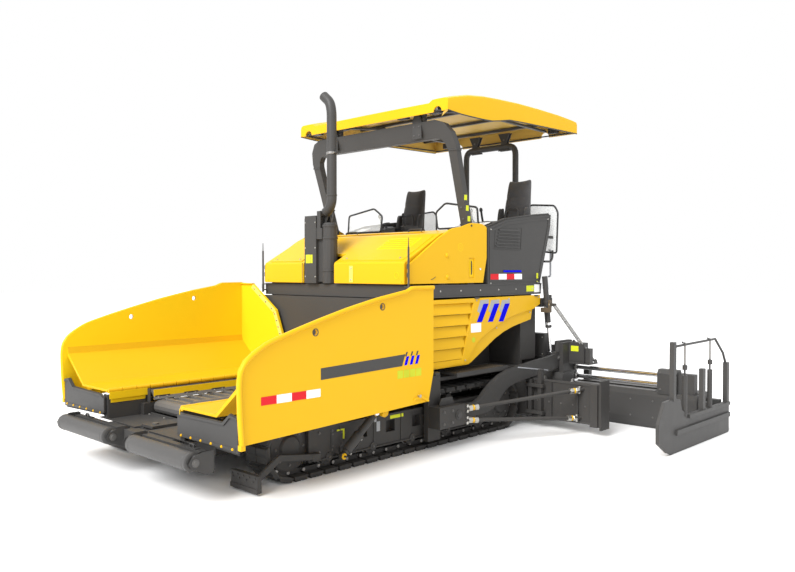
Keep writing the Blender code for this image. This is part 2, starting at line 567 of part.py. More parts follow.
# ------------------------------------------- auger tunnel plates and their braces
MB_F, MB_R = 1.7225, 1.740
for s, tag in ((1, 'l'), (-1, 'r')):
    adds = [sbox(s, 0.72, 2.22, MB_F, MB_R - GAP, 0.12, 0.60),
            sbox(s, 2.19, 2.29, 1.70, 1.7395, 0.10, 0.60),
            sbox(s, 2.28, 2.375, 1.72, 1.738, 0.101, 0.599),
            sbox(s, 2.36, 2.378, 1.62, 1.82, 0.09, 0.66),
            sbox(s, 1.36, 1.41, 1.66, 1.7232, 0.14, 0.59),
            sbox(s, 1.50, 1.55, 1.66, 1.7233, 0.12, 0.72),
            sbox(s, 1.34, 1.58, 1.645, 1.70, 0.17, 0.21),
            sbox(s, 1.34, 1.58, 1.645, 1.70, 0.50, 0.54),
            # outer bearing hanger of the auger
            sbox(s, 2.16, 2.185, 1.7231, 2.04, 0.36, 0.50),
            # braces from the tow point
            rod((s * 1.455, 0.24, 0.41), (s * 2.095, 1.731, 0.532), 0.022, 10),
            rod((s * 1.455, 0.24, 0.29), (s * 2.06, 1.731, 0.188), 0.022, 10),
            sbox(s, 1.415, 1.495, 0.22 + GAP, 0.25, 0.255, 0.475)]
    node('auger_tunnel_' + tag, adds, DARK)

# ----------------------------------------------------- tow arms and basic screed
ARM = [(0.12, 0.455), (0.55, 0.44), (0.66, 0.48), (0.74, 0.545), (0.875, 0.632), (1.03, 0.70), (1.204, 0.748),
       (1.443, 0.776), (1.663, 0.80), (2.05, 0.83), (2.30, 0.86), (2.32, 1.02), (2.62, 1.02), (2.66, 0.99),
       (2.66, 0.80), (2.40, 0.70), (2.10, 0.64), (1.921, 0.629), (1.70, 0.615), (1.526, 0.598),
       (1.34, 0.575), (1.205, 0.546), (1.10, 0.49), (1.026, 0.429), (0.90, 0.335), (0.75, 0.295),
       (0.12, 0.285)]
arm_eye = [(TOW_Y + 0.085 * cos(a), TOW_Z + 0.085 * sin(a))
           for a in [pi / 2 + pi * i / 8 for i in range(9)]]
for s, tag in ((1, 'l'), (-1, 'r')):
    adds = [side(prism(arm_eye[:] + ARM[-1:] [:0] + [p for p in reversed(ARM) if p[0] > 0.2], 'x',
                       1.345, 1.40), s),
            # lug for the lift cylinder's rod
            sbox(s, 1.345, 1.40, LIFT_EY - 0.045, LIFT_EY + 0.045, 0.80, 0.88)]
    node('tow_arm_' + tag, adds, DARK,
         [rod((s * 1.30, TOW_Y, TOW_Z), (s * 1.45, TOW_Y, TOW_Z), 0.034, 12),
          sbox(s, 1.30, 1.45, 2.43, 2.50, 0.78, 0.85), sbox(s, 1.30, 1.45, 2.46, 2.53, 0.90, 0.97)],
         origin=(s * 1.37, TOW_Y, TOW_Z))

    e = Vector((s * LIFT_X, LIFT_EY, LIFT_EZ))
    p = Vector((s * LIFT_X, LIFT_Y, LIFT_Z))
    d = (e - p).normalized()
    node('lift_barrel_' + tag, [rod(p - d * 0.34, p + d * 0.26, 0.036, 14)], DARK,
         [rod(p - d * 0.33, p + d * 0.30, 0.0265, 12)], origin=p)
    node('lift_rod_' + tag, [rod(p + d * 0.035, e - d * 0.012, 0.0215, 12),
                             rod(e - Vector((0.025, 0, 0)), e + Vector((0.025, 0, 0)), 0.034, 12),
                             rod(e, e + Vector((s * 0.038, 0, 0)), 0.016, 10)],
         CHROME, origin=e)

# basic screed: box with a curved nose, end brackets for the tow arms, guides
SCREED = [(SCREED_F + 0.05, 0.0), (SCREED_R, 0.0), (SCREED_R, 0.62), (SCREED_F + 0.02, 0.62),
          (SCREED_F, 0.55), (SCREED_F, 0.12), (SCREED_F + 0.015, 0.05)]
adds = [prism(SCREED, 'x', -1.50, 1.50),
        box((-1.20, 2.27, 0.60), (1.20, 2.50, 0.78)),
        box((-0.28, 2.30, 0.77), (0.28, 2.62, 0.93))]
cuts = []
for s in (1, -1):
    adds.append(sbox(s, 1.402, 1.46, 2.31, 2.64, 0.72, 1.00))
    adds.append(sbox(s, 1.403, 1.459, 2.31, 2.50, 0.60, 0.95))
    adds.append(sbox(s, 1.25, 1.343, 2.44, 2.64, 0.90, 1.00))
    adds.append(sbox(s, 1.20, 1.30, 2.44, 2.50, 0.60, 0.95))
    adds.append(sbox(s, 1.20, 1.342, 2.44, 2.50, 0.60, 0.65))
    for x in (1.38, 0.88):
        adds.append(sbox(s, x, x + 0.08, 2.46, 2.66, 0.50, 0.715))
    for z in (0.55, 0.665):
        cuts.append(rod((s * 0.30, 2.61, z), (s * 1.80, 2.61, z), 0.031, 12))
node('screed_main', adds, DARK, cuts, origin=(0, TOW_Y, TOW_Z))

# ----------------------------------------------------------- screed extensions
EXT = [(EXT_F + 0.05, 0.0), (EXT_R, 0.0), (EXT_R, 0.46), (EXT_F + 0.01, 0.46), (EXT_F, 0.40),
       (EXT_F, 0.12), (EXT_F + 0.015, 0.05)]
CAP = [(2.555, 0.44), (2.70, 0.44), (2.70, 0.69), (2.67, 0.74), (2.58, 0.74), (2.545, 0.69), (2.545, 0.48)]
for s, tag in ((1, 'l'), (-1, 'r')):
    adds = [side(prism(EXT, 'x', 1.40, 3.10), s),
            side(prism(CAP, 'x', 2.62, 2.86), s),
            sbox(s, 2.84, 3.05, 2.60, 2.70, 0.45, 0.70),
            rod((s * 0.84, 2.61, 0.55), (s * 2.65, 2.61, 0.55), 0.026, 12),
            rod((s * 0.84, 2.61, 0.665), (s * 2.65, 2.61, 0.665), 0.026, 12),
            # carriers of the gate's screw jacks
            sbox(s, 3.08, 3.2397, 2.58, 2.66, 0.20, 0.40),
            sbox(s, 3.08, 3.2396, 2.86, 2.94, 0.20, 0.40),
            sbox(s, 1.42, 1.50, 2.90, 2.98, 0.455, 0.60)]
    node('screed_extension_' + tag, adds, DARK, origin=(s * 2.36, 2.75, 0.25))
    gx0, gx1 = 3.24, 3.313
    GATE = [(1.44, 0.005), (3.028, 0.0), (3.048, 0.02), (3.048, 0.37), (1.86, 0.37), (1.70, 0.44),
            (1.66, 0.56), (1.50, 0.58), (1.28, 0.57), (1.14, 0.36), (1.14, 0.16), (1.36, 0.03)]
    adds = [side(prism(GATE, 'x', 3.255, 3.29), s),
            sbox(s, 3.256, gx1, 1.86, 3.03, 0.33, 0.369),
            sbox(s, 3.256, gx1, 1.54, 3.03, 0.19, 0.245),
            sbox(s, gx0, 3.27, 1.55, 3.02, 0.05, 0.09),
            # screw jacks, their post and the hand rail
            rod((s * 3.275, 1.80, 0.36), (s * 3.275, 1.80, 0.80), 0.028, 10),
            rod((s * 3.275, 1.80, 0.79), (s * 3.275, 1.80, 0.95), 0.010, 8),
            rod((s * 3.275, 2.49, 0.36), (s * 3.275, 2.49, 0.80), 0.028, 10),
            rod((s * 3.275, 2.49, 0.79), (s * 3.275, 2.49, 0.93), 0.010, 8),
            sbox(s, 3.25, 3.30, 2.24, 2.31, 0.36, 0.83),
            sbox(s, 3.25, 3.30, 2.95, 3.02, 0.36, 0.84),
            sbox(s, 3.25, 3.30, 1.47, 1.53, 0.56, 1.18),
            sweep([(s * 3.275, 1.50, 1.12), (s * 3.275, 1.60, 1.13), (s * 3.275, 2.64, 1.14),
                   (s * 3.275, 2.88, 0.96), (s * 3.275, 2.985, 0.80)], 0.014, 8)]
    node('end_gate_' + tag, adds, DARK, origin=(s * 3.27, 2.4, 0.25))
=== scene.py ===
from math import sin, cos, pi, radians, atan2, sqrt
from math import exp as math_exp
import bpy
import bmesh
from mathutils import Vector, Matrix, noise


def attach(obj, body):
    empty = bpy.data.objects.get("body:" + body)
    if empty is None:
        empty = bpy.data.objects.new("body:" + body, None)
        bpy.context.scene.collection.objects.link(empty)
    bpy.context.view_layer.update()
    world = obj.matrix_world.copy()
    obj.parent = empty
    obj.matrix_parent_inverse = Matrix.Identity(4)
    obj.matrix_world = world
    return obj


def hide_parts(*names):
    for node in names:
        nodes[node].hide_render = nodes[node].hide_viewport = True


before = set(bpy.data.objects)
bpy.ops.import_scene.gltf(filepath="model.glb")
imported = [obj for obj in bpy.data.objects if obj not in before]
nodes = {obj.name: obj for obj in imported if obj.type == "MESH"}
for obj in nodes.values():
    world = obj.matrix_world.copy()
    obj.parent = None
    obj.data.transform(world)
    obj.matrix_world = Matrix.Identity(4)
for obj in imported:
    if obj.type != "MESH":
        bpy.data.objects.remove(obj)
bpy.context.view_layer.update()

scene = bpy.context.scene
G = 0.0006                       # how far a sticker or a weld stands off its plate

# ============================================================ materials
def _principled(name):
    m = bpy.data.materials.new(name)
    m.use_nodes = True
    nt = m.node_tree
    return m, nt, nt.nodes["Principled BSDF"]


def surface(name, col, rough, metal=0.0, spread=0.06, grain=0.0015, scale=14.0, fine=180.0,
            worn=None, worn_amount=0.0, coat=0.0, soft_edge=0.0, dirt=None, dirt_amount=0.0, shine=0.5):
    """Paint or metal: slow colour drift, a fine grain in its bump, uneven gloss, wear in patches."""
    m, nt, b = _principled(name)
    N, L = nt.nodes, nt.links
    co = N.new("ShaderNodeTexCoord")
    slow = N.new("ShaderNodeTexNoise"); slow.inputs["Scale"].default_value = scale * 0.12
    slow.inputs["Detail"].default_value = 3
    mid = N.new("ShaderNodeTexNoise"); mid.inputs["Scale"].default_value = scale
    mid.inputs["Detail"].default_value = 6; mid.inputs["Roughness"].default_value = 0.62
    tiny = N.new("ShaderNodeTexNoise"); tiny.inputs["Scale"].default_value = fine
    tiny.inputs["Detail"].default_value = 2
    for t in (slow, mid, tiny):
        L.new(co.outputs["Object"], t.inputs["Vector"])
    ramp = N.new("ShaderNodeValToRGB")
    c0 = [max(0, c * (1 - spread)) for c in col]
    c1 = [min(1, c * (1 + spread)) for c in col]
    ramp.color_ramp.elements[0].position = 0.30
    ramp.color_ramp.elements[1].position = 0.70
    ramp.color_ramp.elements[0].color = (*c0, 1)
    ramp.color_ramp.elements[1].color = (*c1, 1)
    L.new(slow.outputs["Fac"], ramp.inputs["Fac"])
    out = ramp.outputs["Color"]
    if worn is not None:
        w = N.new("ShaderNodeValToRGB")
        w.color_ramp.elements[0].position = 0.60
        w.color_ramp.elements[1].position = 0.74
        w.color_ramp.elements[0].color = (0, 0, 0, 1)
        w.color_ramp.elements[1].color = (worn_amount,) * 3 + (1,)
        L.new(mid.outputs["Fac"], w.inputs["Fac"])
        mx = N.new("ShaderNodeMix"); mx.data_type = 'RGBA'
        L.new(w.outputs["Color"], mx.inputs["Factor"])
        L.new(out, mx.inputs["A"])
        mx.inputs["B"].default_value = (*worn, 1)
        out = mx.outputs["Result"]
    if dirt is not None:
        # dust gathers low on the machine and on level faces
        geo = N.new("ShaderNodeNewGeometry")
        sep = N.new("ShaderNodeSeparateXYZ"); L.new(geo.outputs["Normal"], sep.inputs["Vector"])
        up = N.new("ShaderNodeMath"); up.operation = 'MULTIPLY'; up.use_clamp = True
        L.new(sep.outputs["Z"], up.inputs[0])
        L.new(mid.outputs["Fac"], up.inputs[1])
        am = N.new("ShaderNodeMath"); am.operation = 'MULTIPLY'; am.use_clamp = True
        L.new(up.outputs["Value"], am.inputs[0]); am.inputs[1].default_value = dirt_amount
        md = N.new("ShaderNodeMix"); md.data_type = 'RGBA'
        L.new(am.outputs["Value"], md.inputs["Factor"])
        L.new(out, md.inputs["A"]); md.inputs["B"].default_value = (*dirt, 1)
        out = md.outputs["Result"]
    L.new(out, b.inputs["Base Color"])
    rr = N.new("ShaderNodeMapRange")
    rr.inputs["To Min"].default_value = max(0.02, rough - 0.07)
    rr.inputs["To Max"].default_value = min(1.0, rough + 0.09)
    L.new(mid.outputs["Fac"], rr.inputs["Value"])
    L.new(rr.outputs["Result"], b.inputs["Roughness"])
    b.inputs["Metallic"].default_value = metal
    b.inputs["Specular IOR Level"].default_value = shine
    if coat:
        b.inputs["Coat Weight"].default_value = coat
        b.inputs["Coat Roughness"].default_value = 0.08
    bump = N.new("ShaderNodeBump"); bump.inputs["Strength"].default_value = 0.35
    bump.inputs["Distance"].default_value = grain
    L.new(tiny.outputs["Fac"], bump.inputs["Height"])
    if soft_edge:
        bev = N.new("ShaderNodeBevel"); bev.samples = 4
        bev.inputs["Radius"].default_value = soft_edge
        L.new(bev.outputs["Normal"], bump.inputs["Normal"])
    L.new(bump.outputs["Normal"], b.inputs["Normal"])
    m.diffuse_color = (*col, 1)
    return m


YEL = (0.700, 0.402, 0.009)
GRY = (0.049, 0.0475, 0.046)
yellow = surface("paint_yellow", YEL, 0.34, spread=0.02, grain=0.0006, scale=5, fine=420, coat=0.03, shine=0.13)
yellow_cad = surface("paint_yellow_edges", YEL, 0.34, spread=0.02, grain=0.0006, scale=5, fine=420,
                     coat=0.03, soft_edge=0.008, shine=0.13)
# a lighter copy of the yellow paint: painted light that offsets the shade in the hopper's corners; also used on small
# yellow pieces on the hood, cheek doors, chute and front flaps
yellow_lightened = surface("paint_yellow_lightened", (0.80, 0.525, 0.010), 0.42, shine=0.12, spread=0.03, grain=0.001, scale=4,
                    fine=260, worn=(0.66, 0.38, 0.010), worn_amount=0.10)
# painted light and shade: the hopper wall gets a lighter copy of the yellow to offset the shade inside the hopper, the
# wing floor a darker copy to offset the light on its upward slope
yellow_wall_lightened = surface("paint_yellow_hopper_wall_lightened", (0.86, 0.585, 0.011), 0.42, shine=0.12, spread=0.03, grain=0.001,
                      scale=4, fine=260, worn=(0.78, 0.50, 0.011), worn_amount=0.12)
yellow_floor_darkened = surface("paint_yellow_hopper_floor_darkened", (0.68, 0.40, 0.008), 0.45, shine=0.12, spread=0.04, grain=0.001,
                       scale=4, fine=260, worn=(0.60, 0.34, 0.008), worn_amount=0.15)
pale_yellow = surface("paint_yellow_strip", (0.78, 0.62, 0.12), 0.4, shine=0.15, spread=0.03, grain=0.0006)
gray = surface("paint_gray", GRY, 0.46, metal=0.0, shine=0.30, spread=0.05, grain=0.0010, scale=9, fine=320,
               worn=(0.085, 0.080, 0.076), worn_amount=0.18)
gray_cad = surface("paint_gray_edges", GRY, 0.46, shine=0.30, spread=0.05, grain=0.0010, scale=9, fine=320,
                   worn=(0.085, 0.080, 0.076), worn_amount=0.18, soft_edge=0.007)
gray_low = surface("paint_gray_low", (0.040, 0.038, 0.036), 0.55, shine=0.30, spread=0.08, grain=0.0016, scale=8, fine=240,
                   worn=(0.075, 0.068, 0.062), worn_amount=0.25, soft_edge=0.006, dirt=(0.085, 0.078, 0.070),
                   dirt_amount=0.5)
black = surface("black_trim", (0.022, 0.022, 0.023), 0.5, spread=0.1, grain=0.0008)
rubber = surface("rubber", (0.030, 0.029, 0.028), 0.78, spread=0.15, grain=0.003, scale=16, fine=140,
                 worn=(0.075, 0.070, 0.063), worn_amount=0.45)
steel = surface("worn_steel", (0.32, 0.31, 0.30), 0.38, metal=0.85, spread=0.12, grain=0.0015, scale=10,
                worn=(0.22, 0.20, 0.18), worn_amount=0.4, soft_edge=0.003)
floor_steel = surface("hopper_floor_steel", (0.17, 0.165, 0.16), 0.44, metal=0.55, spread=0.12, grain=0.0015,
                      scale=9, worn=(0.26, 0.25, 0.24), worn_amount=0.3)
chrome = surface("chrome", (0.78, 0.78, 0.79), 0.10, metal=1.0, spread=0.02, grain=0.0001)
zinc = surface("zinc_bolt", (0.48, 0.47, 0.44), 0.32, metal=0.9, spread=0.06, grain=0.0004)
dark_bolt = surface("dark_bolt", (0.105, 0.102, 0.098), 0.42, metal=0.2, shine=0.3, spread=0.08, grain=0.0004)
blue = surface("sticker_blue", (0.0, 0.0, 0.62), 0.45, shine=0.04, spread=0.02, grain=0.0003)
red = surface("sticker_red", (0.62, 0.022, 0.030), 0.45, shine=0.08, spread=0.03, grain=0.0003)
white = surface("sticker_white", (0.86, 0.86, 0.86), 0.35, spread=0.01, grain=0.0003)
silver = surface("sticker_silver", (0.34, 0.35, 0.37), 0.42, shine=0.2, spread=0.03, grain=0.0003)
label = surface("sticker_label", (0.62, 0.66, 0.03), 0.45, shine=0.12, spread=0.02, grain=0.0003)
label_soft = surface("sticker_label_soft", (0.50, 0.54, 0.03), 0.45, shine=0.12, spread=0.06, grain=0.0003, scale=60)
lamp = surface("lamp_glass", (0.75, 0.74, 0.70), 0.12, spread=0.03, grain=0.0006, fine=60)
roller_steel = surface("roller_steel", (0.070, 0.068, 0.066), 0.42, metal=0.10, shine=0.35, spread=0.08, grain=0.0012, scale=10,
                       worn=(0.10, 0.098, 0.095), worn_amount=0.35)
grate_rod = surface("grating_rod", (0.12, 0.095, 0.065), 0.5, metal=0.3, spread=0.1, grain=0.0008)
stay_paint = surface("stay_paint", (0.36, 0.36, 0.35), 0.42, metal=0.2, spread=0.05, grain=0.0006)
hose = surface("hose_rubber", (0.028, 0.027, 0.026), 0.58, spread=0.1, grain=0.002, fine=220)


def deck_plate(name):
    """Raised-pattern plate: short bars in two directions."""
    m = surface(name, (0.075, 0.071, 0.068), 0.50, metal=0.1, spread=0.08, grain=0.001,
                worn=(0.16, 0.15, 0.14), worn_amount=0.3)
    nt = m.node_tree; N, L = nt.nodes, nt.links
    b = N["Principled BSDF"]
    old = b.inputs["Normal"].links[0].from_socket
    co = N.new("ShaderNodeTexCoord")
    waves = []
    for ang in (45, -45):
        mp = N.new("ShaderNodeMapping"); mp.inputs["Rotation"].default_value = (0, 0, radians(ang))
        L.new(co.outputs["Object"], mp.inputs["Vector"])
        br = N.new("ShaderNodeTexBrick")
        br.inputs["Scale"].default_value = 11.0
        br.inputs["Mortar Size"].default_value = 0.09
        br.inputs["Mortar Smooth"].default_value = 0.6
        br.inputs["Color1"].default_value = (1, 1, 1, 1); br.inputs["Color2"].default_value = (1, 1, 1, 1)
        br.inputs["Mortar"].default_value = (0, 0, 0, 1)
        br.inputs["Brick Width"].default_value = 0.85; br.inputs["Row Height"].default_value = 0.34
        L.new(mp.outputs["Vector"], br.inputs["Vector"])
        waves.append(br.outputs["Color"])
    mx = N.new("ShaderNodeMath"); mx.operation = 'MULTIPLY'
    L.new(waves[0], mx.inputs[0]); L.new(waves[1], mx.inputs[1])
    bp = N.new("ShaderNodeBump"); bp.inputs["Strength"].default_value = 0.5
    bp.inputs["Distance"].default_value = 0.004
    L.new(mx.outputs["Value"], bp.inputs["Height"]); L.new(old, bp.inputs["Normal"])
    L.new(bp.outputs["Normal"], b.inputs["Normal"])
    return m


deck_mat = deck_plate("deck_plate")


def cloth(name, col, rough=0.85):
    m, nt, b = _principled(name)
    N, L = nt.nodes, nt.links
    co = N.new("ShaderNodeTexCoord")
    mix = []
    for ax in ("X", "Y"):
        w = N.new("ShaderNodeTexWave"); w.wave_type = 'BANDS'; w.bands_direction = 'X' if ax == "X" else 'Z'
        w.inputs["Scale"].default_value = 130; w.inputs["Distortion"].default_value = 0.8
        L.new(co.outputs["Object"], w.inputs["Vector"]); mix.append(w)
    ad = N.new("ShaderNodeMath"); ad.operation = 'ADD'
    L.new(mix[0].outputs["Fac"], ad.inputs[0]); L.new(mix[1].outputs["Fac"], ad.inputs[1])
    nz = N.new("ShaderNodeTexNoise"); nz.inputs["Scale"].default_value = 9; nz.inputs["Detail"].default_value = 5
    L.new(co.outputs["Object"], nz.inputs["Vector"])
    r = N.new("ShaderNodeValToRGB")
    r.color_ramp.elements[0].color = (*[c * 0.72 for c in col], 1)
    r.color_ramp.elements[1].color = (*[c * 1.35 for c in col], 1)
    L.new(nz.outputs["Fac"], r.inputs["Fac"])
    L.new(r.outputs["Color"], b.inputs["Base Color"])
    b.inputs["Roughness"].default_value = rough
    b.inputs["Sheen Weight"].default_value = 0.25
    bp = N.new("ShaderNodeBump"); bp.inputs["Strength"].default_value = 0.4
    bp.inputs["Distance"].default_value = 0.0012
    L.new(ad.outputs["Value"], bp.inputs["Height"]); L.new(bp.outputs["Normal"], b.inputs["Normal"])
    m.diffuse_color = (*col, 1)
    return m


seat_cloth = cloth("seat_cloth", (0.040, 0.038, 0.038))
seat_side = cloth("seat_side_cloth", (0.028, 0.027, 0.027), 0.7)


def clear(name):
    m, nt, b = _principled(name)
    N, L = nt.nodes, nt.links
    b.inputs["Base Color"].default_value = (0.80, 0.82, 0.81, 1)
    b.inputs["Roughness"].default_value = 0.12
    b.inputs["Alpha"].default_value = 0.30
    co = N.new("ShaderNodeTexCoord")
    nz = N.new("ShaderNodeTexNoise"); nz.inputs["Scale"].default_value = 3; nz.inputs["Detail"].default_value = 4
    L.new(co.outputs["Object"], nz.inputs["Vector"])
    rr = N.new("ShaderNodeMapRange"); rr.inputs["To Min"].default_value = 0.05
    rr.inputs["To Max"].default_value = 0.22
    L.new(nz.outputs["Fac"], rr.inputs["Value"]); L.new(rr.outputs["Result"], b.inputs["Roughness"])
    m.diffuse_color = (0.8, 0.82, 0.81, 0.3)
    return m


glass = clear("clear_sheet")

# ============================================================ mesh tools
class Part:
    """One piece gathered from many shapes, each with its own material."""
    def __init__(self):
        self.bm = bmesh.new()
        self.mats = []

    def _add(self, src, mat):
        if mat not in self.mats:
            self.mats.append(mat)
        mi = self.mats.index(mat)
        bmesh.ops.recalc_face_normals(src, faces=src.faces[:])
        vm = {}
        for v in src.verts:
            vm[v] = self.bm.verts.new(v.co)
        for f in src.faces:
            try:
                nf = self.bm.faces.new([vm[v] for v in f.verts])
            except ValueError:
                continue
            nf.material_index = mi
            nf.smooth = True
        src.free()
        return self

    def box(self, lo, hi, mat):
        lo, hi = [min(a, b) for a, b in zip(lo, hi)], [max(a, b) for a, b in zip(lo, hi)]
        bm = bmesh.new()
        v = [bm.verts.new((x, y, z)) for x in (lo[0], hi[0]) for y in (lo[1], hi[1]) for z in (lo[2], hi[2])]
        for q in ((0, 1, 3, 2), (4, 6, 7, 5), (0, 4, 5, 1), (2, 3, 7, 6), (0, 2, 6, 4), (1, 5, 7, 3)):
            bm.faces.new([v[i] for i in q])
        return self._add(bm, mat)

    def prism(self, poly, axis, a, b, mat):
        def at(p, t):
            return {'x': (t, p[0], p[1]), 'y': (p[0], t, p[1]), 'z': (p[0], p[1], t)}[axis]
        bm = bmesh.new()
        lo = [bm.verts.new(at(p, a)) for p in poly]
        hi = [bm.verts.new(at(p, b)) for p in poly]
        n = len(poly)
        bm.faces.new(lo); bm.faces.new(hi)
        for i in range(n):
            j = (i + 1) % n
            bm.faces.new((lo[i], lo[j], hi[j], hi[i]))
        return self._add(bm, mat)

    def ring(self, outer, inner, axis, a, b, mat):
        def at(p, t):
            return {'x': (t, p[0], p[1]), 'y': (p[0], t, p[1]), 'z': (p[0], p[1], t)}[axis]
        bm = bmesh.new()
        n = len(outer)
        v = [[bm.verts.new(at(p, t)) for p in o] for t in (a, b) for o in (outer, inner)]
        for i in range(n):
            j = (i + 1) % n
            bm.faces.new((v[0][i], v[0][j], v[1][j], v[1][i]))
            bm.faces.new((v[2][i], v[2][j], v[3][j], v[3][i]))
            bm.faces.new((v[0][i], v[0][j], v[2][j], v[2][i]))
            bm.faces.new((v[1][i], v[1][j], v[3][j], v[3][i]))
        return self._add(bm, mat)

    def rod(self, p0, p1, r, mat, n=20, r2=None):
        p0, p1 = Vector(p0), Vector(p1)
        q = (p1 - p0).to_track_quat('Z', 'Y')
        bm = bmesh.new()
        rings = []
        for p, rr in ((p0, r), (p1, r if r2 is None else r2)):
            rings.append([bm.verts.new(p + q @ Vector((rr * cos(2 * pi * (i + 0.5) / n),
                                                       rr * sin(2 * pi * (i + 0.5) / n), 0))) for i in range(n)])
        bm.faces.new(rings[0]); bm.faces.new(rings[1])
        for i in range(n):
            j = (i + 1) % n
            bm.faces.new((rings[0][i], rings[0][j], rings[1][j], rings[1][i]))
        return self._add(bm, mat)

    def turned(self, p0, direction, profile, mat, n=24):
        """A turned piece: profile is (distance along, radius)."""
        p0 = Vector(p0)
        d = Vector(direction).normalized()
        q = d.to_track_quat('Z', 'Y')
        bm = bmesh.new()
        rings = []
        for t, r in profile:
            rings.append([bm.verts.new(p0 + d * t + q @ Vector((r * cos(2 * pi * i / n), r * sin(2 * pi * i / n), 0)))
                          for i in range(n)])
        bm.faces.new(rings[0]); bm.faces.new(rings[-1])
        for a, b in zip(rings, rings[1:]):
            for i in range(n):
                j = (i + 1) % n
                bm.faces.new((a[i], a[j], b[j], b[i]))
        return self._add(bm, mat)

    def beam(self, p0, p1, w, h, mat, up=(0, 0, 1)):
        p0, p1, up = Vector(p0), Vector(p1), Vector(up)
        d = (p1 - p0).normalized()
        side = d.cross(up).normalized()
        top = side.cross(d).normalized()
        bm = bmesh.new()
        r = [[bm.verts.new(p + side * (sx * w / 2) + top * (sz * h / 2))
              for sx, sz in ((-1, -1), (1, -1), (1, 1), (-1, 1))] for p in (p0, p1)]
        bm.faces.new(r[0]); bm.faces.new(r[1])
        for i in range(4):
            j = (i + 1) % 4
            bm.faces.new((r[0][i], r[0][j], r[1][j], r[1][i]))
        return self._add(bm, mat)

    def tube(self, path, r, mat, n=14, round_by=0.0, closed=False):
        """A round tube along a path; corners are rounded first by round_by."""
        pts = [Vector(p) for p in path]
        if round_by > 0 and len(pts) > 2:
            out = [] if closed else [pts[0]]
            rng = range(len(pts)) if closed else range(1, len(pts) - 1)
            for i in rng:
                a, b, c = pts[i - 1], pts[i], pts[(i + 1) % len(pts)]
                la, lc = (a - b).length, (c - b).length
                k = min(round_by, la * 0.45, lc * 0.45)
                s0, s1 = b + (a - b).normalized() * k, b + (c - b).normalized() * k
                for t in range(6):
                    u = t / 5
                    out.append(s0 * (1 - u) ** 2 + b * 2 * u * (1 - u) + s1 * u ** 2)
            if not closed:
                out.append(pts[-1])
            pts = out
        bm = bmesh.new()
        m = len(pts)
        def tangent(i):
            if closed:
                return (pts[(i + 1) % m] - pts[i - 1]).normalized()
            if i == 0:
                return (pts[1] - pts[0]).normalized()
            if i == m - 1:
                return (pts[-1] - pts[-2]).normalized()
            return ((pts[i] - pts[i - 1]).normalized() + (pts[i + 1] - pts[i]).normalized()).normalized()
        t0 = tangent(0)
        ref = Vector((0, 0, 1)) if abs(t0.z) < 0.9 else Vector((1, 0, 0))
        u = t0.cross(ref).normalized()
        rings = []
        for i in range(m):
            t = tangent(i)
            u = (u - t * u.dot(t)).normalized()
            w = t.cross(u)
            rings.append([bm.verts.new(pts[i] + (u * cos(2 * pi * k / n) + w * sin(2 * pi * k / n)) * r)
                          for k in range(n)])
        if not closed:
            bm.faces.new(rings[0]); bm.faces.new(rings[-1])
        pairs = list(zip(rings, rings[1:]))
        if closed:
            pairs.append((rings[-1], rings[0]))
        for a, b in pairs:
            for k in range(n):
                j = (k + 1) % n
                bm.faces.new((a[k], a[j], b[j], b[k]))
        return self._add(bm, mat)

    def bolt(self, p, direction, r, mat, h=None):
        """A hexagonal head on a washer."""
        p, d = Vector(p), Vector(direction).normalized()
        h = r * 0.8 if h is None else h
        q = d.to_track_quat('Z', 'Y')
        self.rod(p, p + d * h * 0.25, r * 1.25, mat, n=16)
        bm = bmesh.new()
        rings = []
        for t, rr in ((h * 0.25, r), (h * 0.9, r), (h, r * 0.86)):
            rings.append([bm.verts.new(p + d * t + q @ Vector((rr * cos(pi * i / 3), rr * sin(pi * i / 3), 0)))
                          for i in range(6)])
        bm.faces.new(rings[0]); bm.faces.new(rings[-1])
        for a, b in zip(rings, rings[1:]):
            for i in range(6):
                j = (i + 1) % 6
                bm.faces.new((a[i], a[j], b[j], b[i]))
        return self._add(bm, mat)

    def mirror(self, s):
        if s < 0:
            for v in self.bm.verts:
                v.co.x = -v.co.x
            bmesh.ops.reverse_faces(self.bm, faces=self.bm.faces[:])
        return self

    def done(self, name, body, bevel=0.0, seg=2, angle=32, sharp=38, replaces=(), cuts=(),
             subdiv=0):
        me = bpy.data.meshes.new(name)
        self.bm.to_mesh(me)
        self.bm.free()
        for mt in self.mats:
            me.materials.append(mt)
        me.set_sharp_from_angle(angle=radians(sharp))
        o = bpy.data.objects.new(name, me)
        scene.collection.objects.link(o)
        for k, c in enumerate(cuts):
            cm = bpy.data.meshes.new("cut")
            bmesh.ops.recalc_face_normals(c.bm, faces=c.bm.faces[:])
            c.bm.to_mesh(cm); c.bm.free()
            co = bpy.data.objects.new("cut", cm)
            scene.collection.objects.link(co)
            md = o.modifiers.new("cut%d" % k, 'BOOLEAN'); md.operation = 'DIFFERENCE'; md.solver = 'EXACT'
            md.object = co
            bpy.context.view_layer.update()
            dg = bpy.context.evaluated_depsgraph_get()
            new = bpy.data.meshes.new_from_object(o.evaluated_get(dg))
            o.modifiers.clear()
            old = o.data; o.data = new; bpy.data.meshes.remove(old)
            bpy.data.objects.remove(co, do_unlink=True)
            o.data.shade_smooth(); o.data.set_sharp_from_angle(angle=radians(sharp))
        if bevel:
            bv = o.modifiers.new("bevel", 'BEVEL')
            bv.width = bevel; bv.segments = seg; bv.limit_method = 'ANGLE'; bv.angle_limit = radians(angle)
            bv.use_clamp_overlap = True; bv.harden_normals = False
            wn = o.modifiers.new("normals", 'WEIGHTED_NORMAL'); wn.keep_sharp = True
        if subdiv:
            sd = o.modifiers.new("smooth", 'SUBSURF'); sd.levels = sd.render_levels = subdiv
        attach(o, body)
        if replaces:
            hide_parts(*replaces)
        return o


def circle(a, b, r, n=24, a0=0.0):
    return [(a + r * cos(a0 + 2 * pi * i / n), b + r * sin(a0 + 2 * pi * i / n)) for i in range(n)]


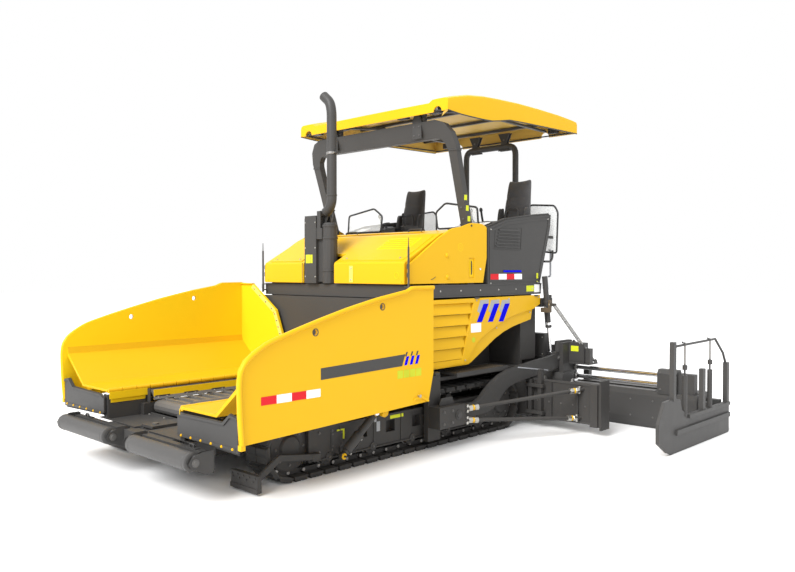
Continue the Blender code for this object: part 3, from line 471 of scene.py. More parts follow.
def offset_in(poly, d):
    """The outline moved inward by d, for an outline without tight notches."""
    n = len(poly)
    area = sum(poly[i][0] * poly[(i + 1) % n][1] - poly[(i + 1) % n][0] * poly[i][1] for i in range(n))
    sgn = 1 if area > 0 else -1
    out = []
    for i in range(n):
        p0, p1, p2 = Vector(poly[i - 1]), Vector(poly[i]), Vector(poly[(i + 1) % n])
        e0, e1 = (p1 - p0).normalized(), (p2 - p1).normalized()
        n0, n1 = Vector((-e0.y, e0.x)) * sgn, Vector((-e1.y, e1.x)) * sgn
        nn = (n0 + n1).normalized()
        k = d / max(0.35, nn.dot(n0))
        out.append((p1.x + nn.x * k, p1.y + nn.y * k))
    return out


def paint(mat, *names):
    for nm in names:
        o = nodes[nm]
        o.data.materials.clear()
        o.data.materials.append(mat)


# ============================================================ camera, light, floor
cam_data = bpy.data.cameras.new("camera")
cam = bpy.data.objects.new("camera", cam_data)
scene.collection.objects.link(cam)
cam_data.sensor_width = 36.0
cam_data.lens = 765.304 * 36.0 / 795.0
cam_data.clip_end = 200
aa, pp = radians(43.522), radians(1.174)
F = Vector((-sin(aa) * cos(pp), cos(aa) * cos(pp), -sin(pp)))
R = Vector((cos(aa), sin(aa), 0.0))
U = R.cross(F)
M = Matrix((( R.x, U.x, -F.x), (R.y, U.y, -F.y), (R.z, U.z, -F.z))).to_4x4()
M.translation = Vector((6.7046, -6.3185, 1.9348))
cam.matrix_world = M
scene.camera = cam
scene.view_settings.view_transform = 'Standard'
scene.view_settings.look = 'None'

world = bpy.data.worlds.new("studio")
scene.world = world
world.use_nodes = True
bg = world.node_tree.nodes["Background"]
bg.inputs["Color"].default_value = (1.0, 1.0, 1.0, 1)
bg.inputs["Strength"].default_value = 1.0


def sun(name, direction, energy, angle, col=(1, 1, 1)):
    d = bpy.data.lights.new(name, 'SUN')
    d.energy = energy; d.angle = radians(angle); d.color = col
    o = bpy.data.objects.new(name, d)
    o.rotation_euler = (-Vector(direction)).to_track_quat('-Z', 'Y').to_euler()
    scene.collection.objects.link(o)
    return o


sun("key", (0.13, -1.0, 0.85), 4.2, 34)
sun("side", (1.0, 0.05, 0.55), 0.12, 50)
sun("back", (-0.6, 1.0, 0.8), 0.25, 50)


def floor_material():
    m, nt, b = _principled("studio_floor")
    N, L = nt.nodes, nt.links
    co = N.new("ShaderNodeTexCoord")
    nz = N.new("ShaderNodeTexNoise"); nz.inputs["Scale"].default_value = 0.6
    L.new(co.outputs["Object"], nz.inputs["Vector"])
    r = N.new("ShaderNodeValToRGB")
    r.color_ramp.elements[0].color = (0.86, 0.86, 0.86, 1)
    r.color_ramp.elements[1].color = (0.89, 0.89, 0.89, 1)
    L.new(nz.outputs["Fac"], r.inputs["Fac"]); L.new(r.outputs["Color"], b.inputs["Base Color"])
    b.inputs["Roughness"].default_value = 0.9
    b.inputs["Specular IOR Level"].default_value = 0.1
    return m


fm = bpy.data.meshes.new("floor")
fm.from_pydata([(-60, -60, -0.002), (60, -60, -0.002), (60, 60, -0.002), (-60, 60, -0.002)], [], [(0, 1, 2, 3)])
fm.materials.append(floor_material())
floor = bpy.data.objects.new("floor", fm)
scene.collection.objects.link(floor)

# ============================================================ CAD nodes kept as they are
SIDES = ((1, 'l'), (-1, 'r'))
paint(gray_cad, 'front_bulkhead', 'exhaust_box', 'push_beam', 'auger_drive', 'rear_hoop')
paint(gray_low, 'main_frame', 'engine_block')
paint(floor_steel, 'conveyor')
for s, t in SIDES:
    paint(gray_low, 'track_frame_' + t, 'auger_tunnel_' + t, 'rear_frame_' + t, 'tow_point_' + t)
    paint(gray_cad, 'tow_arm_' + t, 'screed_extension_' + t, 'end_gate_' + t, 'wing_barrel_' + t,
          'lift_barrel_' + t, 'apron_' + t, 'console_' + t, 'push_roller_' + t)
    paint(steel, 'auger_' + t)
    paint(chrome, 'wing_rod_' + t, 'lift_rod_' + t)
paint(gray_cad, 'screed_main', 'front_hoop', 'exhaust_stack')
paint(deck_mat, 'platform')
paint(yellow_cad, 'engine_hood', 'canopy')

# ============================================================ tracks
TR, TRF, TRR = 0.31, -2.25, 1.62
Y0, Y1 = TRF + TR, TRR - TR
STRAIGHT = Y1 - Y0
TOTAL = 2 * STRAIGHT + 2 * pi * TR


def on_track(t, rr):
    """A point at distance t round the loop and rr out from the run of its axles, with the outward direction."""
    t = t % TOTAL
    if t < STRAIGHT:
        return Vector((Y0 + t, TR - rr)), Vector((0, -1))
    t -= STRAIGHT
    if t < pi * TR:
        a = t / TR
        d = Vector((sin(a), -cos(a)))
        return Vector((Y1, TR)) + d * rr, d
    t -= pi * TR
    if t < STRAIGHT:
        return Vector((Y1 - t, TR + rr)), Vector((0, 1))
    a = (t - STRAIGHT) / TR
    d = Vector((-sin(a), cos(a)))
    return Vector((Y0, TR)) + d * rr, d


for s, t in SIDES:
    P = Part()
    pads = 46
    step = TOTAL / pads
    for k in range(pads):
        c, d = on_track((k + 0.5) * step, TR)
        e = Vector((-d.y, d.x))
        def at(u, w):
            q = c + e * u + d * w
            return (q.x, q.y)
        h = step * 0.43
        low = min(at(u, -0.001)[1] for u in (-h * 0.86, -h * 0.12, h * 0.12, h * 0.86)) - 0.001
        if low < 0:
            c = c + Vector((0, -low))
        # steel shoe with turned-down edges, rubber pad with a groove, and grousers
        P.prism([at(-h, -0.046), at(h, -0.046), at(h * 1.04, -0.036), at(h, -0.026), at(-h, -0.026),
                 at(-h * 1.04, -0.036)], 'x', 0.935, 1.245, gray_low)
        for x0, x1 in ((0.938, 1.086), (1.094, 1.242)):
            P.prism([at(-h * 0.93, -0.026), at(h * 0.93, -0.026), at(h * 0.86, -0.001), at(h * 0.12, 0.0),
                     at(0.0, -0.007), at(-h * 0.12, 0.0), at(-h * 0.86, -0.001)], 'x', x0, x1, rubber)
        # chain links and pin
        for x0, x1 in ((1.045, 1.062), (1.118, 1.135)):
            P.prism([at(-step * 0.52, -0.092), at(step * 0.48, -0.092), at(step * 0.50, -0.07),
                     at(step * 0.42, -0.046), at(-step * 0.42, -0.046), at(-step * 0.54, -0.07)],
                    'x', x0 + (0.018 if k % 2 else 0), x1 + (0.018 if k % 2 else 0), gray_low)
        pc, pd = on_track(k * step, TR)
        q = pc - pd * 0.074
        P.rod((1.035, q.x, q.y), (1.163, q.x, q.y), 0.017, steel, n=10)
        for u in (-h * 0.5, h * 0.5):
            b0 = c + e * u - d * 0.046
            P.rod((1.02, b0.x, b0.y), (1.02, b0.x - d.x * 0.012, b0.y - d.y * 0.012), 0.011, dark_bolt, n=6)
    P.mirror(s)
    P.done("track_chain_" + t, "tractor", bevel=0.0, replaces=("track_" + t,))

    # drive sprocket and idler outside of the CAD discs, hub covers and roller caps
    P = Part()
    for yc, teeth in ((Y1, True), (Y0, False)):
        P.turned((1.171, yc, 0.31), (1, 0, 0), [(0, 0.215), (0.006, 0.215), (0.010, 0.20), (0.010, 0.12),
                 (0.030, 0.105), (0.036, 0.095), (0.036, 0.0)], gray_low, n=32)
        for k in range(8):
            a = 2 * pi * k / 8
            P.bolt((1.181, yc + 0.16 * cos(a), 0.31 + 0.16 * sin(a)), (1, 0, 0), 0.012, dark_bolt)
    for k in range(5):
        y = -1.50 + k * 0.59
        P.turned((1.226, y, 0.158), (1, 0, 0), [(0, 0.044), (0.008, 0.044), (0.012, 0.036), (0.012, 0.0)], gray_low)
        P.bolt((1.238, y, 0.158), (1, 0, 0), 0.011, dark_bolt)
        # bottom rollers' flanges
        for xx in (1.03, 1.13):
            P.turned((xx, y, 0.158), (1, 0, 0), [(0, 0.088), (0.014, 0.088), (0.018, 0.080)], steel, n=20)
    # side frame: weld-on ribs, cover plates, step bolts
    for y in (-1.36, -0.90, -0.50, -0.05, 0.35, 0.80):
        P.box((1.2255, y - 0.006, 0.15), (1.2315, y + 0.006, 0.45), gray_low)
    P.prism([(-1.70, 0.44), (-1.70, 0.462), (1.05, 0.462), (1.05, 0.44)], 'x', 1.2255, 1.245, gray_low)
    P.prism([(-1.70, 0.140), (-1.70, 0.156), (1.05, 0.156), (1.05, 0.140)], 'x', 1.2255, 1.240, gray_low)
    for y in (-1.62, -1.46, 0.10, 0.24, 0.62, 0.96):
        P.bolt((1.2255, y, 0.40), (1, 0, 0), 0.013, dark_bolt)
        P.bolt((1.2255, y, 0.22), (1, 0, 0), 0.011, dark_bolt)
    # grease cover, label plates
    P.box((1.2262, -1.40, 0.30), (1.2290, -1.30, 0.40), label)
    P.box((1.2262, -1.02 + 0.16, 0.30), (1.2285, -1.02 + 0.21, 0.40), silver)
    # scraper: wear strip and bolts, brace behind the blade
    P.box((0.965, -2.437, 0.018), (1.365, -2.4305, 0.060), gray_low)
    for x in (1.00, 1.10, 1.20, 1.30):
        P.bolt((x, -2.4305, 0.115), (0, -1, 0), 0.011, gray)
    P.beam((1.02, -2.385, 0.10), (1.02, -2.36, 0.12), 0.03, 0.10, gray_low)
    P.mirror(s)
    P.done("track_details_" + t, "tractor", bevel=0.0015, seg=1)

# ============================================================ hopper wings
WING_LINE = [(-0.465, 1.775), (-0.79, 1.773), (-0.865, 1.738), (-1.278, 1.671), (-1.65, 1.593),
             (-1.995, 1.506), (-2.317, 1.417), (-2.543, 1.347), (-2.673, 1.279), (-2.758, 1.216),
             (-2.807, 1.138), (-2.822, 1.035), (-2.816, 0.78), (-2.797, 0.53), (-2.755, 0.536),
             (-0.54, 0.618), (-0.465, 0.898)]
WING_SEC = [(0.700, 0.712), (0.70, 0.735), (1.24, 0.735), (1.60, 1.03), (1.619, 1.10), (1.628, 1.10),
            (1.620, 1.00), (1.255, 0.712)]
for s, t in SIDES:
    # outer plate, cut for the two lifting eyes
    P = Part()
    P.prism(WING_LINE, 'x', 1.622, 1.648, yellow)
    # inner face in a lighter copy of the yellow: painted light that offsets the shade inside the hopper
    P.prism(offset_in(WING_LINE, 0.004), 'x', 1.6196, 1.6214, yellow_wall_lightened)
    cuts = []
    for y, z in ((-1.199, 1.591), (-2.023, 1.399)):
        c = Part(); c.rod((1.55, y, z), (1.70, y, z), 0.028, yellow, n=24); cuts.append(c.mirror(s))
    P.mirror(s)
    P.done("wing_plate_" + t, "hopper_wing_" + t, bevel=0.004, cuts=cuts, replaces=("wing_" + t,))
    # rolled flange round the top and the front
    P = Part()
    edge = [(-0.47, 1.762)] + [(-0.79, 1.760), (-0.865, 1.727)] + \
           [(-1.278, 1.660), (-1.65, 1.582), (-1.995, 1.495), (-2.317, 1.406), (-2.543, 1.336),
            (-2.668, 1.266), (-2.748, 1.206), (-2.796, 1.133), (-2.810, 1.033), (-2.804, 0.78), (-2.786, 0.54)]
    path = [(1.652, y, z) for y, z in edge]
    P.tube(path, 0.021, yellow, n=14, round_by=0.09)
    # cut end of the tube, capped and welded at the lower front
    P.box((1.622, -2.808, 0.50), (1.668, -2.764, 0.545), yellow)
    P.mirror(s)
    P.done("wing_flange_" + t, "hopper_wing_" + t, bevel=0.003, angle=60)
    # floor of the wing in a darker copy of the yellow (painted shade against the light on its upward slope), rear wall
    # in a lighter copy (painted light against the shade inside the hopper), inner stiffeners
    P = Part()
    P.prism(WING_SEC, 'y', -2.763, -0.468, yellow_floor_darkened)
    P.prism([(0.71, 0.737), (1.25, 0.737), (1.619, 1.04), (1.621, 1.774), (1.372, 1.762),
             (0.896, 1.447), (0.76, 1.133)], 'y', -0.498, -0.470, yellow_lightened)
    # bolted pale strip on the rear wall's inner slanted edge, front face
    for (xa, za), (xb, zb) in (((1.372, 1.762), (0.896, 1.447)), ((0.896, 1.447), (0.76, 1.133))):
        a, b = Vector((xa, -0.504, za)), Vector((xb, -0.504, zb))
        dd = (b - a).normalized()
        nn = Vector((-dd.z, 0, dd.x))
        nn = nn if nn.x > 0 else -nn
        off = nn * 0.028
        P.beam(a + off + dd * 0.01, b + off - dd * 0.005, 0.052, 0.010, pale_yellow, up=(0, -1, 0))
        L_ = (b - a).length
        for k in range(4):
            q = a + off + dd * (L_ * (k + 0.5) / 4)
            P.bolt((q.x, -0.509, q.z), (0, -1, 0), 0.010, zinc)
    # inner corner gussets between the floor and the outer plate
    for y in (-2.55, -1.95, -1.35, -0.80):
        P.prism([(1.30, 0.700), (1.618, 0.955), (1.618, 0.60), (1.605, 0.60)], 'y', y - 0.008, y + 0.008, yellow)
    # flange along the inner top of the rear wall
    P.box((1.372, -0.515, 1.756), (1.62, -0.472, 1.770), yellow)
    P.mirror(s)
    P.done("wing_inside_" + t, "hopper_wing_" + t, bevel=0.004)
    # hinge knuckles, cylinder lugs with their pins and keepers
    P = Part()
    n_k = 15
    for k in range(n_k):
        y0 = -2.76 + (2.29 / n_k) * k
        P.rod((0.70, y0 + 0.004, 0.72), (0.70, y0 + 2.29 / n_k - 0.004, 0.72),
              0.026 if k % 2 else 0.0245, yellow, n=20)
    for x0, x1, zt, zb in ((1.455, 1.495, 0.89, 0.50), (1.258, 1.290, 0.74, 0.53)):
        P.prism([(-1.06, zt), (-1.06, zb + 0.06), (-1.045, zb + 0.015), (-1.0075, zb), (-0.97, zb + 0.015),
                 (-0.955, zb + 0.06), (-0.955, zt)], 'x', x0, x1, yellow)
    P.turned((1.495, -1.02, 0.56), (1, 0, 0), [(0, 0.034), (0.010, 0.034), (0.014, 0.026), (0.014, 0.0)], yellow)
    P.bolt((1.509, -1.02, 0.56), (1, 0, 0), 0.014, yellow)
    P.mirror(s)
    P.done("wing_hinge_" + t, "hopper_wing_" + t, bevel=0.003)
    # latch at the lower rear, label squares, tape
    P = Part()
    X = 1.6485
    P.box((X, -0.76, 0.655), (X + 0.012, -0.62, 0.680), yellow)
    P.beam((X + 0.010, -0.70, 0.700), (X + 0.014, -0.56, 0.628), 0.020, 0.020, yellow, up=(0, 0, 1))
    P.rod((X, -0.69, 0.690), (X + 0.026, -0.69, 0.690), 0.016, zinc, n=14)
    for y, z in ((-1.199, 1.591), (-2.023, 1.399)):
        P.ring(circle(y, z, 0.034), circle(y, z, 0.0275), 'x', X - 0.001, X + 0.0025, gray)
    # dark stripe with three slanted bars behind it
    P.prism([(-1.963, 0.980), (-1.963, 1.082), (-0.885, 1.120), (-0.930, 1.008)], 'x', X, X + G * 2, gray)
    for k in range(3):
        y = -0.900 + 0.078 * k
        P.prism([(y, 1.012), (y + 0.040, 1.0135), (y + 0.072, 1.098), (y + 0.032, 1.096)], 'x', X, X + G * 2, blue)
        P.prism([(y + 0.012, 1.098), (y + 0.032, 1.098), (y + 0.052, 1.140), (y + 0.030, 1.139)], 'x', X, X + G * 2,
                gray)
    for k in range(4):
        y = -0.995 + 0.088 * k
        P.box((X, y, 0.890), (X + G * 2, y + 0.080, 0.968), label_soft)
    for k in range(4):
        y = -2.600 + 0.158 * k
        P.box((X, y, 0.836), (X + G * 2, y + 0.158, 0.906), red if k % 2 == 0 else white)
    P.mirror(s)
    P.done("wing_stickers_" + t, "hopper_wing_" + t)

    # aprons: rubber lip, clamp bar and bolts
    P = Part()
    P.box((0.715, -2.8045, 0.486), (1.585, -2.8005, 0.512), gray)
    for k in range(6):
        P.bolt((0.77 + 0.155 * k, -2.8045, 0.4995), (0, -1, 0), 0.010, yellow)
    P.prism([(0.712, 0.478), (1.610, 0.452), (1.610, 0.54), (0.712, 0.54)], 'y', -2.8005 + 0.022, -2.7815 + 0.0, rubber)
    P.prism([(0.705, 0.655), (0.775, 0.685), (1.405, 0.695), (1.505, 0.775), (1.61, 0.755), (1.61, 0.735),
             (1.51, 0.750), (1.42, 0.675), (0.775, 0.665)], 'y', -2.812, -2.795, gray)
    P.mirror(s)
    P.done("apron_details_" + t, "hopper_wing_" + t, bevel=0.0015, seg=1)

# ============================================================ conveyor and hopper floor
P = Part()
for s in (1, -1):
    # two runs of slats with their chains
    for k in range(25):
        y = -2.18 + 0.145 * k
        P.prism([(y - 0.016, 0.571), (y + 0.016, 0.571), (y + 0.012, 0.592), (y - 0.012, 0.592)], 'x',
                s * 0.075, s * 0.585, steel)
    for x in (0.10, 0.56):
        for k in range(50):
            y = -2.20 + 0.0725 * k
            P.box((s * (x - 0.012), y - 0.031, 0.572), (s * (x + 0.012), y + 0.031, 0.586 if k % 2 else 0.590), steel)
    # sloped side plates that lead the mix to the slats
    P.prism([(0.602, 0.585), (0.697, 0.690), (0.697, 0.700), (0.588, 0.592)] if s > 0 else
            [(-0.602, 0.585), (-0.697, 0.690), (-0.697, 0.700), (-0.588, 0.592)], 'y', -2.30, -0.45, floor_steel)
for k in range(24):
    P.rod((-0.058 + 0.0, -2.15 + 0.095 * k, 0.604), (0.058, -2.15 + 0.095 * k, 0.604), 0.005, zinc, n=8)
P.done("conveyor_slats", "tractor", bevel=0.0)

# ============================================================ side panels with their louvres
for s, t in SIDES:
    low = [(-0.35, 0.844), (0.63, 0.849), (0.689, 0.873), (0.858, 0.964), (1.134, 1.111), (1.32, 1.185),
           (1.53, 1.243), (1.909, 1.312), (1.937, 1.441), (1.93, 1.61), (-0.35, 1.608)]
    P = Part()
    P.prism(low, 'x', 1.206, 1.234, yellow)
    cuts = []
    window = [(-0.30, 1.560), (0.705, 1.560), (0.495, 0.925), (-0.30, 0.925)]
    c = Part(); c.prism(window, 'x', 1.212, 1.30, yellow); cuts.append(c.mirror(s))
    P.mirror(s)
    P.done("side_panel_lower_" + t, "side_flap_" + t, bevel=0.005, cuts=cuts, replaces=("side_door_" + t,))
    up = [(-0.35, 0.862), (0.535, 0.866), (0.575, 0.885), (0.76, 1.075), (0.875, 1.145), (1.007, 1.21),
          (1.20, 1.285), (1.422, 1.358), (1.68, 1.405), (1.937, 1.441), (2.093, 1.501), (2.098, 1.620),
          (-0.35, 1.606)]
    P = Part()
    P.prism(up, 'x', 1.2345, 1.2500, yellow)
    cuts = []
    c = Part(); c.prism(window, 'x', 1.20, 1.30, yellow); cuts.append(c.mirror(s))
    P.mirror(s)
    P.done("side_panel_upper_" + t, "side_flap_" + t, bevel=0.0045, seg=3, cuts=cuts)
    # louvres: each blade leans out at its foot
    P = Part()
    n_b = 5
    pitch = (1.560 - 0.925) / n_b
    for k in range(n_b):
        z0 = 0.925 + pitch * k
        def right(z):
            return 0.495 + (z - 0.925) * (0.705 - 0.495) / (1.560 - 0.925)
        bm_pts = [(1.2135, z0 + pitch * 0.98), (1.2190, z0 + pitch * 0.98), (1.2470, z0 + pitch * 0.22),
                  (1.2475, z0 + pitch * 0.03), (1.2415, z0 + pitch * 0.03), (1.2405, z0 + pitch * 0.20)]
        P.prism(bm_pts, 'y', -0.298, right(z0 + pitch * 0.3) - 0.004, yellow)
    P.box((1.2090, -0.30, 0.925), (1.2125, 0.50, 1.560), black)
    P.mirror(s)
    P.done("side_louvres_" + t, "side_flap_" + t, bevel=0.0015, seg=1)
    # stickers, bolts and the handle of the panel
    P = Part()
    X = 1.2505
    for k in range(3):
        y = 0.762 + 0.214 * k
        z = 1.330 - 0.006 * k
        P.prism([(y, z), (y + 0.100, z), (y + 0.232, z + 0.212), (y + 0.130, z + 0.212)], 'x', X, X + G * 2, blue)
        P.prism([(y + 0.012, z + 0.130), (y + 0.060, z + 0.100), (y + 0.130, z + 0.214), (y + 0.226, z + 0.214),
                 (y + 0.232, z + 0.262), (y + 0.070, z + 0.255)], 'x', X - G, X + G, silver)
    P.box((X, 0.655, 1.215), (X + G * 2, 0.845, 1.318), white)
    P.prism(circle(0.705, 1.13, 0.032, 20), 'x', X, X + G * 2, label_soft)
    for y, z in ((-0.32, 1.585), (0.76, 1.585), (1.40, 1.588), (2.05, 1.590), (0.55, 0.905), (1.15, 1.245),
                 (1.86, 1.405)):
        P.bolt((1.2500, y, z), (1, 0, 0), 0.0085, zinc)
    P.box((1.250, 0.72, 1.604), (1.262, 0.80, 1.622), gray)
    P.box((1.250, 1.96, 1.604), (1.262, 2.03, 1.622), gray)
    P.mirror(s)
    P.done("side_panel_trim_" + t, "side_flap_" + t)

# ============================================================ engine hood and its cheek doors
P = Part()
HOOD = [(-0.43, 1.785), (-0.43, 2.005), (-0.418, 2.026), (0.150, 2.338), (0.20, 2.352), (0.60, 2.41), (0.60, 1.785)]
P.prism(HOOD, 'x', -1.208, 1.208, yellow)
c1 = Part(); c1.prism([(-0.40, 1.70), (-0.40, 2.00), (0.18, 2.322), (0.57, 2.380), (0.57, 1.70)], 'x', -1.185, 1.185, yellow)
c2 = Part(); c2.box((-0.45, -0.60, 1.60), (0.10, -0.235, 2.60), yellow)
P.done("hood_shell", "tractor", bevel=0.007, seg=3, cuts=[c1, c2], replaces=("engine_hood",))
P = Part()
def on_slope(x, q, h=0.0):
    """A point on the hood's slope: q runs from its foot to its top."""
    a, b = Vector((x, -0.418, 2.026)), Vector((x, 0.150, 2.338))
    n_ = Vector((0, -(b.z - a.z), (b.y - a.y))).normalized()
    return a + (b - a) * q + n_ * h
def slope_plate(x0, x1, q0, q1, h0, h1, mat):
    bm = bmesh.new()
    v = [bm.verts.new(on_slope(x, q, h)) for h in (h0, h1) for x, q in ((x0, q0), (x1, q0), (x1, q1), (x0, q1))]
    bm.faces.new(v[:4]); bm.faces.new(v[4:])
    for i in range(4):
        j = (i + 1) % 4
        bm.faces.new((v[i], v[j], v[j + 4], v[i + 4]))
    P._add(bm, mat)
# raised lids either side, with a sunk panel in the lighter copy of the yellow (painted light) and its ribs
slope_plate(-1.13, -0.52, 0.04, 0.90, -0.002, 0.008, yellow)
slope_plate(0.16, 1.15, 0.05, 0.93, -0.002, 0.006, yellow)
slope_plate(0.52, 1.02, 0.45, 0.86, 0.004, 0.0068, yellow_lightened)
for k in range(5):
    slope_plate(0.54, 1.00, 0.49 + 0.075 * k, 0.515 + 0.075 * k, 0.006, 0.011, yellow)
for x in (-1.05, -0.60, 0.24, 1.08):
    q = on_slope(x, 0.12, 0.006); n_ = on_slope(x, 0.12, 0.1) - q
    P.bolt(q, n_, 0.011, zinc)
# hinge strip, latches and round mark on the front face; the mark is in the lighter copy of the yellow (painted light)
P.box((0.365, -0.437, 1.800), (0.425, -0.430, 1.985), pale_yellow)
for z in (1.83, 1.955):
    P.bolt((0.395, -0.437, z), (0, -1, 0), 0.009, zinc)
P.ring(circle(1.10, 1.88, 0.036), circle(1.10, 1.88, 0.030), 'y', -0.4325, -0.4295, yellow_lightened)
for x in (-1.15, -0.52, 0.16, 1.16):
    P.box((x - 0.012, -0.434, 1.790), (x + 0.012, -0.429, 1.82), yellow)
P.box((-1.19, -0.4345, 1.788), (-0.47, -0.4300, 1.800), yellow)
P.box((0.12, -0.4345, 1.788), (1.19, -0.4300, 1.800), yellow)
P.box((-0.470, -0.4325, 1.79), (-0.462, -0.25, 2.02), gray)
# top lid with two grab bars
P.box((-0.80, 0.30, 2.372), (0.80, 0.585, 2.381), yellow)
for x in (-0.55, 0.55):
    P.tube([(x - 0.10, 0.46, 2.375), (x - 0.10, 0.47, 2.425), (x + 0.10, 0.47, 2.425), (x + 0.10, 0.46, 2.375)],
           0.008, gray, n=10, round_by=0.02)
P.done("hood_details", "tractor", bevel=0.002, seg=2)

for s, t in SIDES:
    cheek = [(-0.405, 1.79), (0.887, 1.79), (0.955, 2.08), (0.955, 2.434), (0.935, 2.452), (0.870, 2.476),
             (0.845, 2.480), (0.670, 2.480), (0.64, 2.474), (0.488, 2.432), (0.33, 2.405), (0.28, 2.388),
             (0.103, 2.303), (-0.385, 2.000), (-0.405, 1.980)]
    P = Part()
    P.prism(cheek, 'x', 1.2225, 1.2500, yellow)
    cuts = []
    for poly in ([(0.618, 1.845), (0.718, 1.845), (0.722, 2.075), (0.622, 2.075)],):
        c = Part(); c.prism(poly, 'x', 1.236, 1.30, yellow); cuts.append(c.mirror(s))
    c = Part(); c.rod((1.20, 0.662, 2.448), (1.30, 0.662, 2.448), 0.012, yellow, n=16); cuts.append(c.mirror(s))
    P.mirror(s)
    P.done("cheek_plate_" + t, "engine_flap_" + t, bevel=0.005, seg=3, cuts=cuts, replaces=("hood_door_" + t,))
    P = Part()
    # rings in the lighter copy of the yellow (painted light)
    P.ring(circle(0.462, 2.195, 0.047, 32), circle(0.462, 2.195, 0.041, 32), 'x', 1.249, 1.2512, yellow_lightened)
    P.ring(circle(0.462, 2.195, 0.018, 20), circle(0.462, 2.195, 0.013, 20), 'x', 1.249, 1.2512, yellow_lightened)
    for y, z in ((0.225, 2.10), (0.235, 1.86)):
        P.turned((1.249, y, z), (1, 0, 0), [(0, 0.030), (0.010, 0.026), (0.015, 0.018), (0.017, 0.0)], yellow, n=24)
    # rubber grip in the pocket, key lock; the pocket's plate is in the lighter copy of the yellow (painted light)
    P.box((1.2362, 0.635, 1.86), (1.2400, 0.703, 2.06), yellow_lightened)
    P.tube([(1.2385, 0.67, 1.885), (1.2465, 0.67, 1.905), (1.2465, 0.67, 2.02), (1.2385, 0.67, 2.045)], 0.006,
           gray, n=10, round_by=0.01)
    arc = [(1.2506, -0.085 + 0.15 * sin(a), 1.93 - 0.10 * cos(a)) for a in (0.25, 0.45, 0.65, 0.85)]
    P.tube(arc, 0.0035, gray, n=8)
    P.bolt((1.249, 0.662, 2.448), (1, 0, 0), 0.0095, gray)
    P.turned((1.2495, 0.83, 1.95), (1, 0, 0), [(0, 0.014), (0.004, 0.013), (0.005, 0.0)], chrome, n=18)
    # hinge at the front edge
    for z in (1.86, 1.95):
        P.rod((1.236, -0.4065, z), (1.236, -0.4065, z + 0.05), 0.009, gray, n=12)
    P.mirror(s)
    P.done("cheek_details_" + t, "engine_flap_" + t, bevel=0.0012, seg=1)

# antennas at the front corners of the hood
P = Part()
for s in (1, -1):
    P.turned((s * 1.262, -0.420, 1.660), (0, 0, 1), [(0, 0.015), (0.10, 0.015), (0.105, 0.012), (0.52, 0.011),
             (0.525, 0.006), (0.62, 0.004), (0.62, 0.0)], gray, n=12)
    P.box((s * 1.205, -0.428, 1.68), (s * 1.268, -0.408, 1.70), gray)
    P.box((s * 1.205, -0.428, 1.755), (s * 1.268, -0.408, 1.768), gray)
P.done("corner_markers", "tractor")

# ============================================================ exhaust
P = Part()
P.prism([(-0.41, 1.783), (-0.41, 2.545), (-0.395, 2.578), (-0.215, 2.578), (-0.20, 2.545), (-0.20, 1.783)],
        'y', -0.4415, -0.4375, gray)
P.box((-0.385, -0.4435, 2.02), (-0.305, -0.4416, 2.12), label)
P.box((-0.300, -0.4435, 2.02), (-0.262, -0.4416, 2.12), label_soft)
for z in (1.86, 2.20, 2.50):
    for x in (-0.395, -0.215):
        P.bolt((x, -0.4415, z), (0, -1, 0), 0.0075, zinc)
# rain cap seat, clamp bands round the silencer
for z in (1.92, 2.30, 2.44):
    P.turned((-0.06, -0.345, z), (0, 0, 1), [(0, 0.0885), (0.002, 0.0925), (0.022, 0.0925), (0.024, 0.0885)], gray, n=36)
P.turned((-0.06, -0.345, 2.469), (0, 0, 1), [(0, 0.088), (0.010, 0.080), (0.022, 0.070), (0.024, 0.062)], gray, n=32)
P.beam((-0.175, -0.345, 2.42), (-0.10, -0.345, 2.62), 0.05, 0.012, gray, up=(0, 1, 0))
P.tube([(-0.02, -0.36, 2.46), (0.02, -0.37, 2.54), (0.01, -0.36, 2.60)], 0.007, gray, n=8, round_by=0.03)
P.done("exhaust_details", "tractor", bevel=0.0015, seg=1)
P = Part()
sp = [(-0.13, -0.35, 2.615), (-0.06, -0.35, 2.66), (-0.022, -0.35, 2.74), (-0.022, -0.35, 3.78),
      (-0.050, -0.35, 3.895), (-0.160, -0.35, 3.985)]
P.tube(sp, 0.058, gray, n=28, round_by=0.12)
P.tube([(-0.155, -0.35, 3.981), (-0.163, -0.35, 3.9875)], 0.050, black, n=24)
P.turned((-0.022, -0.35, 3.285), (0, 0, 1), [(0, 0.0585), (0.002, 0.0635), (0.028, 0.0635), (0.030, 0.0585)], steel, n=32)
P.box((0.035, -0.375, 3.287), (0.072, -0.325, 3.313), gray)
P.rod((0.052, -0.388, 3.300), (0.052, -0.312, 3.300), 0.007, zinc, n=10)
P.turned((-0.022, -0.35, 2.80), (0, 0, 1), [(0, 0.0585), (0.002, 0.062), (0.020, 0.062), (0.022, 0.0585)], gray, n=32)
P.rod((-0.16, -0.412, 2.60), (-0.16, -0.288, 2.60), 0.036, gray, n=20)
P.rod((-0.16, -0.416, 2.60), (-0.16, -0.284, 2.60), 0.012, zinc, n=12)
P.done("stack_pipe", "stack", bevel=0.0015, seg=1, angle=50, replaces=("exhaust_stack",))

# ============================================================ platform: edge band, stickers, floor pattern
P = Part()
for s in (1, -1):
    P.box((s * 1.2503, -0.385, 1.640), (s * 1.2545, 2.113, 1.650), gray)
    P.box((s * 1.2503, -0.385, 1.756), (s * 1.2545, 2.118, 1.768), gray)
    for k in range(7):
        P.bolt((s * 1.2503, -0.25 + 0.36 * k, 1.703), (s, 0, 0), 0.008, zinc)
    P.box((s * 1.2503, 1.78, 1.668), (s * 1.2515, 1.945, 1.742), label)
    P.box((s * 1.2503, 1.955, 1.655), (s * 1.2515, 2.075, 1.757), white)
    P.box((min(s * 1.10, s * 1.112), 1.45, 1.50), (max(s * 1.10, s * 1.112), 2.10, 1.6316), gray)
